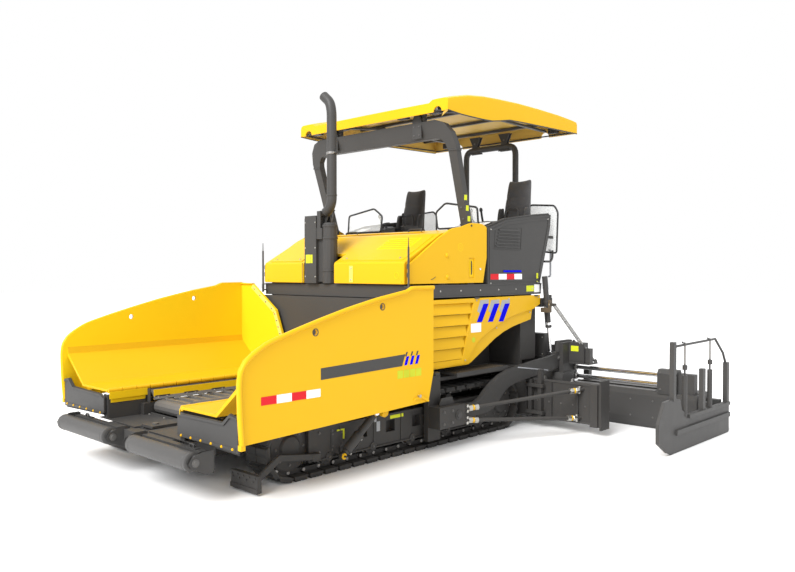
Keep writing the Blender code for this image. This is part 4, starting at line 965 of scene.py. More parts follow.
# smooth face plates round the platform's edge
P.box((-1.249, -0.3872, 1.634), (1.249, -0.3856, 1.770), gray)
for s in (1, -1):
    P.box((min(s * 1.2503, s * 1.2510), -0.384, 1.6506), (max(s * 1.2503, s * 1.2510), 1.775, 1.7554), gray)
# dark closing strips behind the joints between front wall, platform and hood
P.box((-1.16, -0.356, 1.7725), (1.16, -0.348, 1.800), gray)
P.box((-1.16, -0.358, 1.575), (1.16, -0.350, 1.6315), gray)
# rear step behind the deck with hand rails, and two access steps
P.box((-0.74, 2.05, 1.7725), (0.74, 2.795, 1.7765), deck_mat)
for k in range(2):
    z = 1.30 - 0.33 * k
    P.box((-0.36, 2.735, z), (0.36, 2.79, z + 0.028), deck_mat)
for x in (-0.38, 0.36):
    P.box((x, 2.735, 0.962), (x + 0.02, 2.790, 1.6316), gray)
P.done("deck_trim", "tractor", bevel=0.0015, seg=1)

# ============================================================ operator consoles
for s, t in SIDES:
    P = Part()
    X = 1.2503
    # side sheet with rounded inner border, louvres, stickers
    sheet = [(1.005, 1.80), (2.065, 1.80), (2.285, 2.475), (2.300, 2.622), (1.90, 2.585), (1.345, 2.515), (1.005, 2.410)]
    inner = offset_in(sheet, 0.030)
    P.ring(sheet, inner, 'x', X, X + 0.006, gray)
    for k in range(6):
        z = 2.215 + 0.040 * k
        P.prism([(X, z), (X + 0.011, z - 0.002), (X + 0.012, z + 0.006), (X, z + 0.022)], 'y',
                1.13 + 0.012 * k, 1.62, gray)
    P.ring([(1.10, 2.185), (1.655, 2.185), (1.68, 2.47), (1.12, 2.455)],
           [(1.112, 2.195), (1.645, 2.195), (1.668, 2.458), (1.132, 2.444)], 'x', X, X + 0.004, gray)
    for k in range(4):
        y = 1.020 + 0.163 * k
        P.box((X + 0.006, y, 1.824), (X + 0.0072, y + 0.163, 1.892), red if k % 2 == 0 else white)
    P.box((X + 0.006, 1.28, 1.912), (X + 0.0072, 1.66, 1.935), blue)
    P.box((X, 2.005, 1.79), (X + 0.0012, 2.045, 1.90), label)
    for y, z in ((1.03, 1.78), (2.04, 1.78), (2.27, 2.60), (1.03, 2.42)):
        P.bolt((X, y, z), (1, 0, 0), 0.009, zinc)
    # rim of the top edge
    top = [(0.975, 2.437), (1.34, 2.549), (1.90, 2.622), (2.338, 2.664)]
    P.tube([(1.207, y, z + 0.003) for y, z in top], 0.018, gray, n=14)
    # control desk: sloping panel, display, switches, lever and wheel
    P.prism([(0.985, 2.436), (1.335, 2.536), (1.338, 2.541), (0.983, 2.441)], 'x', 0.64, 1.155, black)
    def desk(x, y, h=0.0):
        return (x, y - 0.03 * h * 0, 2.4385 + (y - 0.985) * 0.2865 + 0.004 + h)
    for i in range(6):
        for j in range(3):
            p0 = desk(0.69 + 0.036 * i, 1.03 + 0.050 * j)
            P.rod(p0, (p0[0], p0[1] - 0.003, p0[2] + 0.012), 0.010, red if (i * 3 + j) % 7 == 2 else gray, n=12)
    p0, p1 = desk(0.95, 1.03), desk(1.13, 1.22)
    P.beam((0.95 + 0.09, 1.03, p0[2] + 0.004), (0.95 + 0.09, 1.22, p1[2] + 0.004), 0.19, 0.012, black)
    P.beam((0.95 + 0.09, 1.045, p0[2] + 0.0125), (0.95 + 0.09, 1.205, p1[2] + 0.0085), 0.16, 0.004, lamp)
    q = desk(0.80, 1.27)
    P.turned(q, (0, -0.28, 0.96), [(0, 0.032), (0.012, 0.030), (0.03, 0.020), (0.045, 0.011), (0.13, 0.009),
             (0.135, 0.020), (0.165, 0.024), (0.185, 0.016), (0.19, 0.0)], black, n=20)
    q = desk(0.715, 1.27)
    P.turned(q, (0, -0.28, 0.96), [(0, 0.020), (0.02, 0.014), (0.05, 0.014)], black, n=16)
    ring_c = Vector(q) + Vector((0, -0.28, 0.96)).normalized() * 0.055
    un, vn = Vector((1, 0, 0)), Vector((0, 0.96, 0.28))
    P.tube([ring_c + (un * cos(a) + vn * sin(a)) * 0.055 for a in [2 * pi * k / 28 for k in range(28)]], 0.008,
           black, n=10, closed=True)
    P.mirror(s)
    P.done("console_details_" + t, "tractor", bevel=0.0012, seg=1)

# ============================================================ wind screens: frames and clear sheets
for s, t in SIDES:
    front = [(0.50, 2.45), (1.135, 2.45), (1.115, 2.685), (0.625, 2.762), (0.47, 2.655)]
    rear = [(0.812, 2.21), (1.272, 2.162), (1.29, 2.70), (1.236, 2.790), (0.866, 2.818), (0.812, 2.755)]
    for nm, poly, y in (("screen_front_", front, 0.9425), ("screen_rear_", rear, 2.4475)):
        P = Part()
        inner = offset_in(poly, 0.004)
        P.prism(inner, 'y', y - 0.0025, y + 0.0025, glass)
        P.mirror(s)
        P.done(nm + "pane_" + t, "tractor", replaces=(nm + t,))
        P = Part()
        P.tube([(x, y, z) for x, z in poly], 0.012, black, n=12, round_by=0.035, closed=True)
        if nm == "screen_front_":
            for x in (0.68, 1.10):
                P.box((x - 0.018, y - 0.008, 2.20), (x + 0.018, y + 0.030, 2.46), gray)
                P.bolt((x, y - 0.008, 2.30), (0, -1, 0), 0.010, zinc)
                P.bolt((x, y - 0.008, 2.24), (0, -1, 0), 0.010, zinc)
        else:
            P.box((1.192, 2.300, 2.352), (1.228, 2.437, 2.388), gray)
            P.tube([(1.21, 2.4475, 2.20), (1.21, 2.4475, 2.10), (1.21, 2.40, 2.05), (1.21, 2.25, 2.05)], 0.014, gray,
                   n=12, round_by=0.05)
            P.tube([(1.14, 2.462, 2.205), (1.17, 2.462, 2.20), (1.17, 2.462, 1.86), (1.14, 2.462, 1.85)], 0.012,
                   silver, n=10, round_by=0.02)
        P.mirror(s)
        P.done(nm + "frame_" + t, "tractor", bevel=0.001, seg=1)

# ============================================================ canopy
# the shell is drawn as sections across the machine, from its front edge to its rear
def canopy_top(y):
    pts = [(0.213, 3.852), (0.33, 3.885), (0.602, 3.942), (0.884, 3.974), (1.18, 3.990), (1.596, 4.003),
           (2.042, 4.003), (2.519, 3.993), (2.80, 3.980), (2.953, 3.965)]
    for (a, za), (b, zb) in zip(pts, pts[1:]):
        if y <= b:
            return za + (zb - za) * (y - a) / (b - a)
    return pts[-1][1]


def canopy_low(y):
    pts = [(0.213, 3.708), (0.45, 3.692), (0.658, 3.690), (0.85, 3.691), (1.002, 3.694), (1.161, 3.715),
           (1.25, 3.738), (1.365, 3.756), (1.60, 3.766), (2.043, 3.776), (2.953, 3.793)]
    for (a, za), (b, zb) in zip(pts, pts[1:]):
        if y <= b:
            return za + (zb - za) * (y - a) / (b - a)
    return pts[-1][1]


P = Part()
bm = bmesh.new()
ys = [0.213, 0.24, 0.30, 0.38, 0.47, 0.602, 0.74, 0.884, 1.03, 1.18, 1.38, 1.596, 1.82, 2.042, 2.28, 2.519, 2.72,
      2.86, 2.93, 2.953]
W = 1.271
sections = []
for y in ys:
    zt, zl = canopy_top(y), canopy_low(y)
    # outer line from the left rim over the top to the right rim: raised side beams, dished middle
    drop = 0.022 if 0.45 < y < 2.85 else (0.034 if y < 1 else 0.006)
    half = [(W - 0.004, zl), (W, zl + 0.012), (W, zt - 0.050), (W - 0.010, zt - 0.018), (W - 0.040, zt - 0.002),
            (1.13, zt + 0.0), (1.04, zt - 0.002), (0.985, zt - drop), (0.55, zt - drop + 0.004), (0.0, zt - drop + 0.006)]
    line = half + [(-x, z) for x, z in reversed(half[:-1])]
    sections.append([bm.verts.new((x, y, z)) for x, z in line])
for a, b in zip(sections, sections[1:]):
    for i in range(len(a) - 1):
        bm.faces.new((a[i], b[i], b[i + 1], a[i + 1]))
# front and rear faces turn down from the top to the rim
for sec, y, out in ((sections[0], 0.213, -1), (sections[-1], 2.953, 1)):
    zl = canopy_low(y)
    row = sec
    base = [bm.verts.new((v.co.x, y, zl)) for v in row[1:-1]]
    seq = row[1:-1]
    for i in range(len(seq) - 1):
        f = (seq[i], seq[i + 1], base[i + 1], base[i])
        bm.faces.new(f)
    bm.faces.new((row[0], row[1], base[0]))
    bm.faces.new((row[-1], row[-2], base[-1]))
bmesh.ops.remove_doubles(bm, verts=bm.verts[:], dist=0.0005)
bmesh.ops.recalc_face_normals(bm, faces=bm.faces[:])
me = bpy.data.meshes.new("roof_shell")
for f in bm.faces:
    f.smooth = True
bm.to_mesh(me); bm.free()
roof_in = surface("paint_roof_inside", (0.62, 0.40, 0.08), 0.55, spread=0.10, grain=0.003, scale=6, fine=90,
                  worn=(0.35, 0.25, 0.10), worn_amount=0.25)
me.materials.append(yellow); me.materials.append(roof_in)
roof = bpy.data.objects.new("roof_shell", me)
scene.collection.objects.link(roof)
sol = roof.modifiers.new("wall", 'SOLIDIFY'); sol.thickness = 0.016; sol.offset = -1
sol.material_offset = 1; sol.material_offset_rim = 0; sol.use_even_offset = True
# round notches in the front rim over the hoop, and at the sides
cut_at = [(0.93, 0.213, 'y'), (-0.93, 0.213, 'y')]
bpy.context.view_layer.update()
dg = bpy.context.evaluated_depsgraph_get()
baked = bpy.data.meshes.new_from_object(roof.evaluated_get(dg))
roof.modifiers.clear(); roof.data = baked
for where, turn, rad in (((1.115, 0.213, 3.706), 'X', 0.062), ((-1.115, 0.213, 3.706), 'X', 0.062),
                         ((0.771, 2.953, 3.800), 'X', 0.066), ((-0.771, 2.953, 3.800), 'X', 0.066)):
    c = bpy.data.meshes.new("cut"); cb = bmesh.new()
    bmesh.ops.create_cone(cb, cap_ends=True, segments=28, radius1=rad, radius2=rad, depth=0.20,
                          matrix=Matrix.Translation(where) @ Matrix.Rotation(pi / 2, 4, turn))
    cb.to_mesh(c); cb.free()
    co = bpy.data.objects.new("cut", c); scene.collection.objects.link(co)
    md = roof.modifiers.new("cut", 'BOOLEAN'); md.operation = 'DIFFERENCE'; md.solver = 'EXACT'; md.object = co
    bpy.context.view_layer.update()
    dg = bpy.context.evaluated_depsgraph_get()
    new = bpy.data.meshes.new_from_object(roof.evaluated_get(dg))
    roof.modifiers.clear(); roof.data = new
    bpy.data.objects.remove(co, do_unlink=True)
roof.data.shade_smooth(); roof.data.set_sharp_from_angle(angle=radians(40))
bv = roof.modifiers.new("bevel", 'BEVEL'); bv.width = 0.006; bv.segments = 2; bv.limit_method = 'ANGLE'
bv.angle_limit = radians(50)
wn = roof.modifiers.new("normals", 'WEIGHTED_NORMAL'); wn.keep_sharp = True
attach(roof, "tractor"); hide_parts("canopy")

P = Part()
# beams and lamps under the roof
for y in (0.62, 1.30, 2.02, 2.66):
    z = canopy_top(y) - 0.075
    P.box((-1.245, y - 0.022, z), (1.245, y + 0.022, z + 0.034), gray)
for x in (-0.80, 0.80):
    for (ya, yb) in ((0.30, 1.30), (1.30, 2.90)):
        P.beam((x, ya, canopy_top(ya) - 0.095), (x, yb, canopy_top(yb) - 0.095), 0.045, 0.030, gray)
for x in (-1.245, 1.245):
    for (ya, yb) in ((0.26, 0.66), (0.66, 1.0), (1.0, 1.365), (1.365, 2.9)):
        P.beam((x, ya, canopy_low(ya) + 0.03), (x, yb, canopy_low(yb) + 0.03), 0.022, 0.016, black)
P.beam((-1.235, 0.245, 3.725), (1.235, 0.245, 3.725), 0.020, 0.016, black, up=(0, 0, 1))
P.beam((-1.235, 2.925, 3.81), (1.235, 2.925, 3.81), 0.020, 0.016, black, up=(0, 0, 1))
# edge beading along the rim
for s in (1, -1):
    pth = [(s * 1.2685, y, canopy_low(y) - 0.001) for y in ys]
    P.tube(pth, 0.007, black, n=8)
P.done("roof_frame", "tractor", bevel=0.002, seg=1)
P = Part()
for x in (-1.02, -0.52, 0.52, 1.02):
    z0 = canopy_low(0.30) + 0.02
    P.box((x - 0.07, 0.262, z0 - 0.012), (x + 0.07, 0.335, z0 + 0.065), black)
    P.box((x - 0.062, 0.255, z0 - 0.004), (x + 0.062, 0.2615, z0 + 0.057), lamp)
for x in (-0.95, 0.95):
    P.box((x - 0.07, 2.84, 3.825), (x + 0.07, 2.905, 3.900), black)
    P.box((x - 0.062, 2.9055, 3.832), (x + 0.062, 2.912, 3.893), lamp)
P.done("roof_lamps", "tractor", bevel=0.004, seg=2)
P = Part()
for x in (-0.72, 0.72):
    P.rod((x - 0.10, 1.596, 3.983), (x + 0.10, 1.596, 3.983), 0.006, gray, n=8)
for (x, y) in ((1.10, 0.50), (1.10, 1.50), (1.10, 2.50), (-1.10, 0.50), (-1.10, 1.50), (-1.10, 2.50)):
    P.turned((x, y, canopy_top(y) - 0.003), (0, 0, 1), [(0, 0.014), (0.004, 0.013), (0.006, 0.006), (0.0065, 0.0)], yellow, n=16)
P.done("roof_bolts", "tractor")

# ============================================================ hoops: brackets, clamps, labels, cables
P = Part()
def leg_y(z):
    return 0.695 - max(0.0, z - 2.47) * 0.30
for x0 in (-0.78, 0.66):
    # hinge bracket between arch and roof
    y = leg_y(3.56)
    P.prism([(x0 - 0.01, 3.46), (x0 + 0.13, 3.46), (x0 + 0.13, 3.66), (x0 + 0.10, 3.74), (x0 + 0.02, 3.74),
             (x0 - 0.01, 3.66)], 'y', y - 0.062, y - 0.045, gray)
    P.rod((x0 - 0.015, y - 0.02, 3.685), (x0 + 0.135, y - 0.02, 3.685), 0.014, dark_bolt, n=14)
    for z in (3.50, 3.60):
        for x in (x0 + 0.02, x0 + 0.10):
            P.bolt((x, y - 0.062, z), (0, -1, 0), 0.010, dark_bolt)
# welded web plates and joint flanges of the arch
for s in (1, -1):
    for z in (2.47, 3.30):
        y = leg_y(z)
        xx = 1.15 if z < 3 else 1.175
        P.box((s * (xx - 0.064), y - 0.047, z - 0.007), (s * (xx + 0.066), y + 0.047, z + 0.007), gray)
    for z in (2.53, 2.66):
        P.bolt((s * 1.15, leg_y(z) - 0.0405, z), (0, -1, 0), 0.011, dark_bolt)
    # labels and cable up the upright's outer side
    for z in (2.50, 2.62, 2.74):
        yl = leg_y(z + 0.045)
        P.box((s * 1.2052 + s * (z - 2.45) * 0.033, yl - 0.030, z), (s * 1.2070 + s * (z - 2.45) * 0.033, yl + 0.020, z + 0.090), label)
    pth = [(s * 1.13, leg_y(z) + 0.052, z) for z in (1.80, 2.20, 2.47, 2.80, 3.10, 3.35)]
    P.tube(pth, 0.010, hose, n=10, round_by=0.1)
    for z in (2.0, 2.35, 2.75, 3.15):
        P.box((s * 1.112, leg_y(z) + 0.0405, z - 0.010), (s * 1.148, leg_y(z) + 0.066, z + 0.010), black)
    P.box((s * 1.085, 0.640, 1.7730), (s * 1.215, 0.750, 1.785), gray)
    for x, y in ((1.10, 0.648), (1.20, 0.648), (1.10, 0.742), (1.20, 0.742)):
        P.bolt((s * x, y, 1.785), (0, 0, 1), 0.010, dark_bolt)
P.done("front_hoop_details", "tractor", bevel=0.0015, seg=1)
P = Part()
path = [(-0.44, 2.70, 1.7725), (-0.44, 2.70, 3.70), (0.44, 2.70, 3.70), (0.44, 2.70, 1.7725)]
P.tube(path, 0.043, gray, n=24, round_by=0.13)
for s in (1, -1):
    P.turned((s * 0.44, 2.70, 1.7725), (0, 0, 1), [(0, 0.075), (0.012, 0.075), (0.014, 0.046)], gray, n=24)
    for a in range(4):
        P.bolt((s * 0.44 + 0.060 * cos(a * pi / 2 + pi / 4), 2.70 + 0.060 * sin(a * pi / 2 + pi / 4), 1.7845), (0, 0, 1), 0.008, dark_bolt)
    P.turned((s * 0.44, 2.70, 2.55), (0, 0, 1), [(0, 0.044), (0.002, 0.050), (0.05, 0.050), (0.052, 0.044)], gray, n=24)
for x in (-0.30, 0.22):
    for y0, y1 in ((2.668, 2.680), (2.720, 2.732)):
        P.prism([(x - 0.06, 3.64), (x + 0.14, 3.64), (x + 0.08, 3.76), (x + 0.14, 3.885), (x - 0.06, 3.885),
                 (x + 0.0, 3.76)], 'y', y0, y1, black)
    P.rod((x + 0.04, 2.66, 3.79), (x + 0.04, 2.74, 3.79), 0.013, dark_bolt, n=14)
# cross tube low down
P.tube([(-0.44, 2.70, 2.32), (0.44, 2.70, 2.32)], 0.020, gray, n=14)
P.done("rear_hoop_tube", "tractor", bevel=0.0015, seg=1, angle=50, replaces=("rear_hoop",))

# ============================================================ seats
def cushion(name, body, mat, lo, hi, crown, tilt=0.0, pivot=None, waist=0.018, nx=18, ny=18, taper=0.0,
            channels=()):
    """A crowned pad: a superellipse in plan whose faces bulge and whose sides pull in between the corners.
    It is built lying in the plane of its two larger sizes and then tilted about X."""
    cx, cy, cz = [(a + b) / 2 for a, b in zip(lo, hi)]
    hx, hy, hz = [(b - a) / 2 for a, b in zip(lo, hi)]
    bm = bmesh.new()
    top, bot = {}, {}
    for i in range(nx + 1):
        for j in range(ny + 1):
            u, v = -1 + 2 * i / nx, -1 + 2 * j / ny
            # sides pull in between the corners
            px = u * (hx - waist * (1 - v * v) * abs(u) ** 3) * (1 - taper * (v + 1) / 2)
            py = v * (hy - waist * (1 - u * u) * abs(v) ** 3)
            # corner rounding
            r = max(abs(u), abs(v))
            k = (1 - abs(u) ** 4) * (1 - abs(v) ** 4)
            edge = (max(0.0, 1 - r ** 6)) ** 0.5
            ch = 0.0
            for c in channels:
                ch += 0.010 * math_exp(-((v - c) / 0.045) ** 2)
            zt = hz * (0.30 + 0.70 * edge) * (1 - 0.0) + crown * k - ch * (1 if edge > 0.2 else 0.4)
            zb = -hz * (0.35 + 0.65 * edge)
            wr = 0.0016 * noise.noise(Vector((px * 16, py * 16, cz)))
            top[i, j] = bm.verts.new((cx + px, cy + py, cz + zt + wr))
            if 0 < i < nx and 0 < j < ny:
                bot[i, j] = bm.verts.new((cx + px, cy + py, cz + zb))
            else:
                bot[i, j] = bm.verts.new((cx + px, cy + py, cz + zb))
    for i in range(nx):
        for j in range(ny):
            bm.faces.new((top[i, j], top[i + 1, j], top[i + 1, j + 1], top[i, j + 1]))
            bm.faces.new((bot[i, j], bot[i, j + 1], bot[i + 1, j + 1], bot[i + 1, j]))
    for i in range(nx):
        for j in (0, ny):
            bm.faces.new((top[i, j], bot[i, j], bot[i + 1, j], top[i + 1, j]))
    for j in range(ny):
        for i in (0, nx):
            bm.faces.new((top[i, j], top[i, j + 1], bot[i, j + 1], bot[i, j]))
    bmesh.ops.recalc_face_normals(bm, faces=bm.faces[:])
    if tilt:
        pv = Vector(pivot if pivot is not None else (cx, cy, cz))
        bmesh.ops.rotate(bm, verts=bm.verts[:], cent=pv, matrix=Matrix.Rotation(tilt, 3, 'X'))
    for f in bm.faces:
        f.smooth = True
    me = bpy.data.meshes.new(name); bm.to_mesh(me); bm.free()
    me.materials.append(mat)
    o = bpy.data.objects.new(name, me); scene.collection.objects.link(o)
    sd = o.modifiers.new("smooth", 'SUBSURF'); sd.levels = sd.render_levels = 1
    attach(o, body)
    return o


for s, t in SIDES:
    cx = s * 0.92
    cushion("seat_cushion_" + t, "tractor", seat_cloth, (cx - 0.205, 1.455, 2.262),
            (cx + 0.205, 1.935, 2.352), 0.022, tilt=radians(3), channels=(-0.45, 0.30))
    # backrest: built flat, then stood up; its length runs along its slope
    cushion("seat_back_" + t, "tractor", seat_cloth, (cx - 0.245, 1.985, 2.240),
            (cx + 0.245, 2.800, 2.352), 0.030, tilt=radians(81.5), pivot=(cx, 1.985, 2.315), taper=0.34,
            channels=(-0.62, -0.30, 0.02, 0.40), nx=20, ny=30)
    # side bolsters of the lower back
    for sx in (-1, 1):
        e = cx + sx * 0.205
        cushion("seat_bolster_%s_%s" % (t, 'a' if sx < 0 else 'b'), "tractor", seat_side,
                (e - 0.036, 2.000, 2.335), (e + 0.036, 2.420, 2.415), 0.010, tilt=radians(81.5),
                pivot=(cx, 1.985, 2.315), waist=0.006, nx=8, ny=18, taper=0.10)
    for sx in (-1, 1):
        a = cx + sx * 0.207
        cushion("armrest_pad_%s_%s" % (t, 'a' if sx < 0 else 'b'), "tractor", seat_side,
                (a - 0.026, 1.57, 2.528), (a + 0.026, 1.99, 2.566), 0.006, waist=0.004, nx=8, ny=16)
    P = Part()
    # hard shell behind the back, pan, suspension boot, armrest posts, rails
    sl = radians(81.5)
    P.prism([(2.040, 2.30), (2.068, 2.30), (2.160, 2.98), (2.142, 2.99)], 'x', cx - 0.130, cx + 0.130, black)
    P.prism([(1.47, 2.235), (1.97, 2.235), (2.03, 2.30), (2.00, 2.315), (1.95, 2.268), (1.47, 2.262)], 'x',
            cx - 0.20, cx + 0.20, black)
    for k in range(7):
        z = 1.86 + 0.050 * k
        e = 0.012 if k % 2 else 0.0
        P.box((cx - 0.155 + e, 1.56 + e, z), (cx + 0.155 - e, 1.93 - e, z + 0.048), rubber)
    P.box((cx - 0.17, 1.54, 1.80), (cx + 0.17, 1.95, 1.862), black)
    P.turned((cx, 1.75, 1.7725), (0, 0, 1), [(0, 0.14), (0.02, 0.14), (0.028, 0.12), (0.030, 0.10)], gray, n=32)
    for sx in (-1, 1):
        a = cx + sx * 0.222
        P.tube([(a, 2.045, 2.50), (a, 1.99, 2.512), (a, 1.60, 2.520)], 0.011, black, n=12, round_by=0.03)
        P.box((a - 0.010, 1.98, 2.28), (a + 0.010, 2.05, 2.53), black)
        P.prism([(1.62, 2.27), (2.04, 2.27), (2.06, 2.50), (1.98, 2.515), (1.70, 2.47), (1.60, 2.36)], 'x',
                a - 0.008, a + 0.008, black)
        P.tube([(a - sx * 0.01, 1.56, 2.275), (a - sx * 0.01, 1.50, 2.275), (a - sx * 0.01, 1.46, 2.262)], 0.008, black, n=8)
    # lever and joystick at the inner side, belt buckle
    P.tube([(cx - s * 0.235, 1.62, 2.565), (cx - s * 0.235, 1.60, 2.63), (cx - s * 0.235, 1.585, 2.70)], 0.014, black, n=12)
    P.turned((cx - s * 0.235, 1.585, 2.69), (0, -0.2, 0.98), [(0, 0.014), (0.01, 0.022), (0.04, 0.020), (0.055, 0.0)], black, n=16)
    P.box((cx + s * 0.19, 1.93, 2.36), (cx + s * 0.205, 1.96, 2.44), red)
    # inverted-U guard tube in front of the back cushion, as a grab frame
    P.tube([(cx - 0.13, 1.905, 2.42), (cx - 0.085, 1.945, 2.74), (cx + 0.085, 1.945, 2.74), (cx + 0.13, 1.905, 2.42)],
           0.009, gray, n=12, round_by=0.05)
    o = P.done("seat_frame_" + t, "tractor", bevel=0.004, seg=2, angle=45, replaces=("seat_" + t,))

def collar(P, p, d, r_in, r_out, length, mat, n=28):
    """A band round a bar: open through its middle, so that a rod can run in it."""
    p, d = Vector(p), Vector(d).normalized()
    a = d.cross(Vector((0, 0, 1)) if abs(d.z) < 0.9 else Vector((1, 0, 0))).normalized()
    b = d.cross(a)
    c = min(0.002, length * 0.2)
    loop = [(0, r_in), (0, r_out - c), (c, r_out), (length - c, r_out), (length, r_out - c), (length, r_in)]
    bm = bmesh.new()
    rows = [[bm.verts.new(p + d * t + (a * cos(2 * pi * i / n) + b * sin(2 * pi * i / n)) * r) for i in range(n)]
            for t, r in loop]
    for k in range(len(rows)):
        A, B = rows[k], rows[(k + 1) % len(rows)]
        for i in range(n):
            bm.faces.new((A[i], A[(i + 1) % n], B[(i + 1) % n], B[i]))
    P._add(bm, mat)


# ============================================================ push beam and rollers
P = Part()
for x0 in (-1.262, -0.192, 0.148, 1.234):
    P.prism([(-2.86, 0.26), (-2.80, 0.26), (-2.80, 0.45), (-2.90, 0.45), (-3.005, 0.415), (-3.035, 0.37),
             (-3.005, 0.325), (-2.93, 0.285)], 'x', x0 - 0.003, x0 - G, gray)
    P.prism([(-2.86, 0.26), (-2.80, 0.26), (-2.80, 0.45), (-2.90, 0.45), (-3.005, 0.415), (-3.035, 0.37),
             (-3.005, 0.325), (-2.93, 0.285)], 'x', x0 + 0.030 + G, x0 + 0.033, gray)
    for sx in (x0 - 0.003, x0 + 0.033):
        d = -1 if sx < x0 else 1
        P.turned((sx, -2.97, 0.37), (d, 0, 0), [(0, 0.034), (0.006, 0.034), (0.008, 0.022), (0.016, 0.022), (0.017, 0.0)], dark_bolt, n=20)
for x in (-0.75, -0.42, 0.42, 0.75):
    P.box((x - 0.06, -2.863, 0.292), (x + 0.06, -2.8605, 0.418), gray)
    for dx in (-0.045, 0.045):
        for dz in (-0.045, 0.045):
            P.bolt((x + dx, -2.863, 0.355 + dz), (0, -1, 0), 0.010, dark_bolt)
for s in (1, -1):
    # hooks on top of the beam
    P.tube([(s * 0.96, -2.835, 0.434), (s * 0.96, -2.835, 0.462), (s * 1.02, -2.835, 0.462), (s * 1.02, -2.835, 0.434)],
           0.009, gray, n=12, round_by=0.015)
    P.box((s * 0.90, -2.858, 0.4305), (s * 1.08, -2.802, 0.437), gray)
P.turned((0, -2.62, 0.446), (0, 0, 1), [(0, 0.070), (0.010, 0.068), (0.012, 0.030), (0.030, 0.030), (0.032, 0.0)], dark_bolt, n=24)
P.done("push_beam_details", "push_beam_body", bevel=0.002, seg=1)
for s, t in SIDES:
    P = Part()
    a, b = sorted((s * 0.2235, s * 1.2225))
    P.turned((a, -2.97, 0.37), (1, 0, 0), [(0.0, 0.030), (0.0005, 0.070), (0.008, 0.0795), (b - a - 0.008, 0.0795),
             (b - a - 0.0005, 0.070), (b - a, 0.030)], roller_steel, n=48)
    for x in (a + 0.05, b - 0.05):
        P.turned((x - 0.006, -2.97, 0.37), (1, 0, 0), [(0, 0.0796), (0.002, 0.0812), (0.010, 0.0812), (0.012, 0.0796)], roller_steel, n=48)
    P.done("push_roller_shell_" + t, "roller_" + t, angle=50, replaces=("push_roller_" + t,))

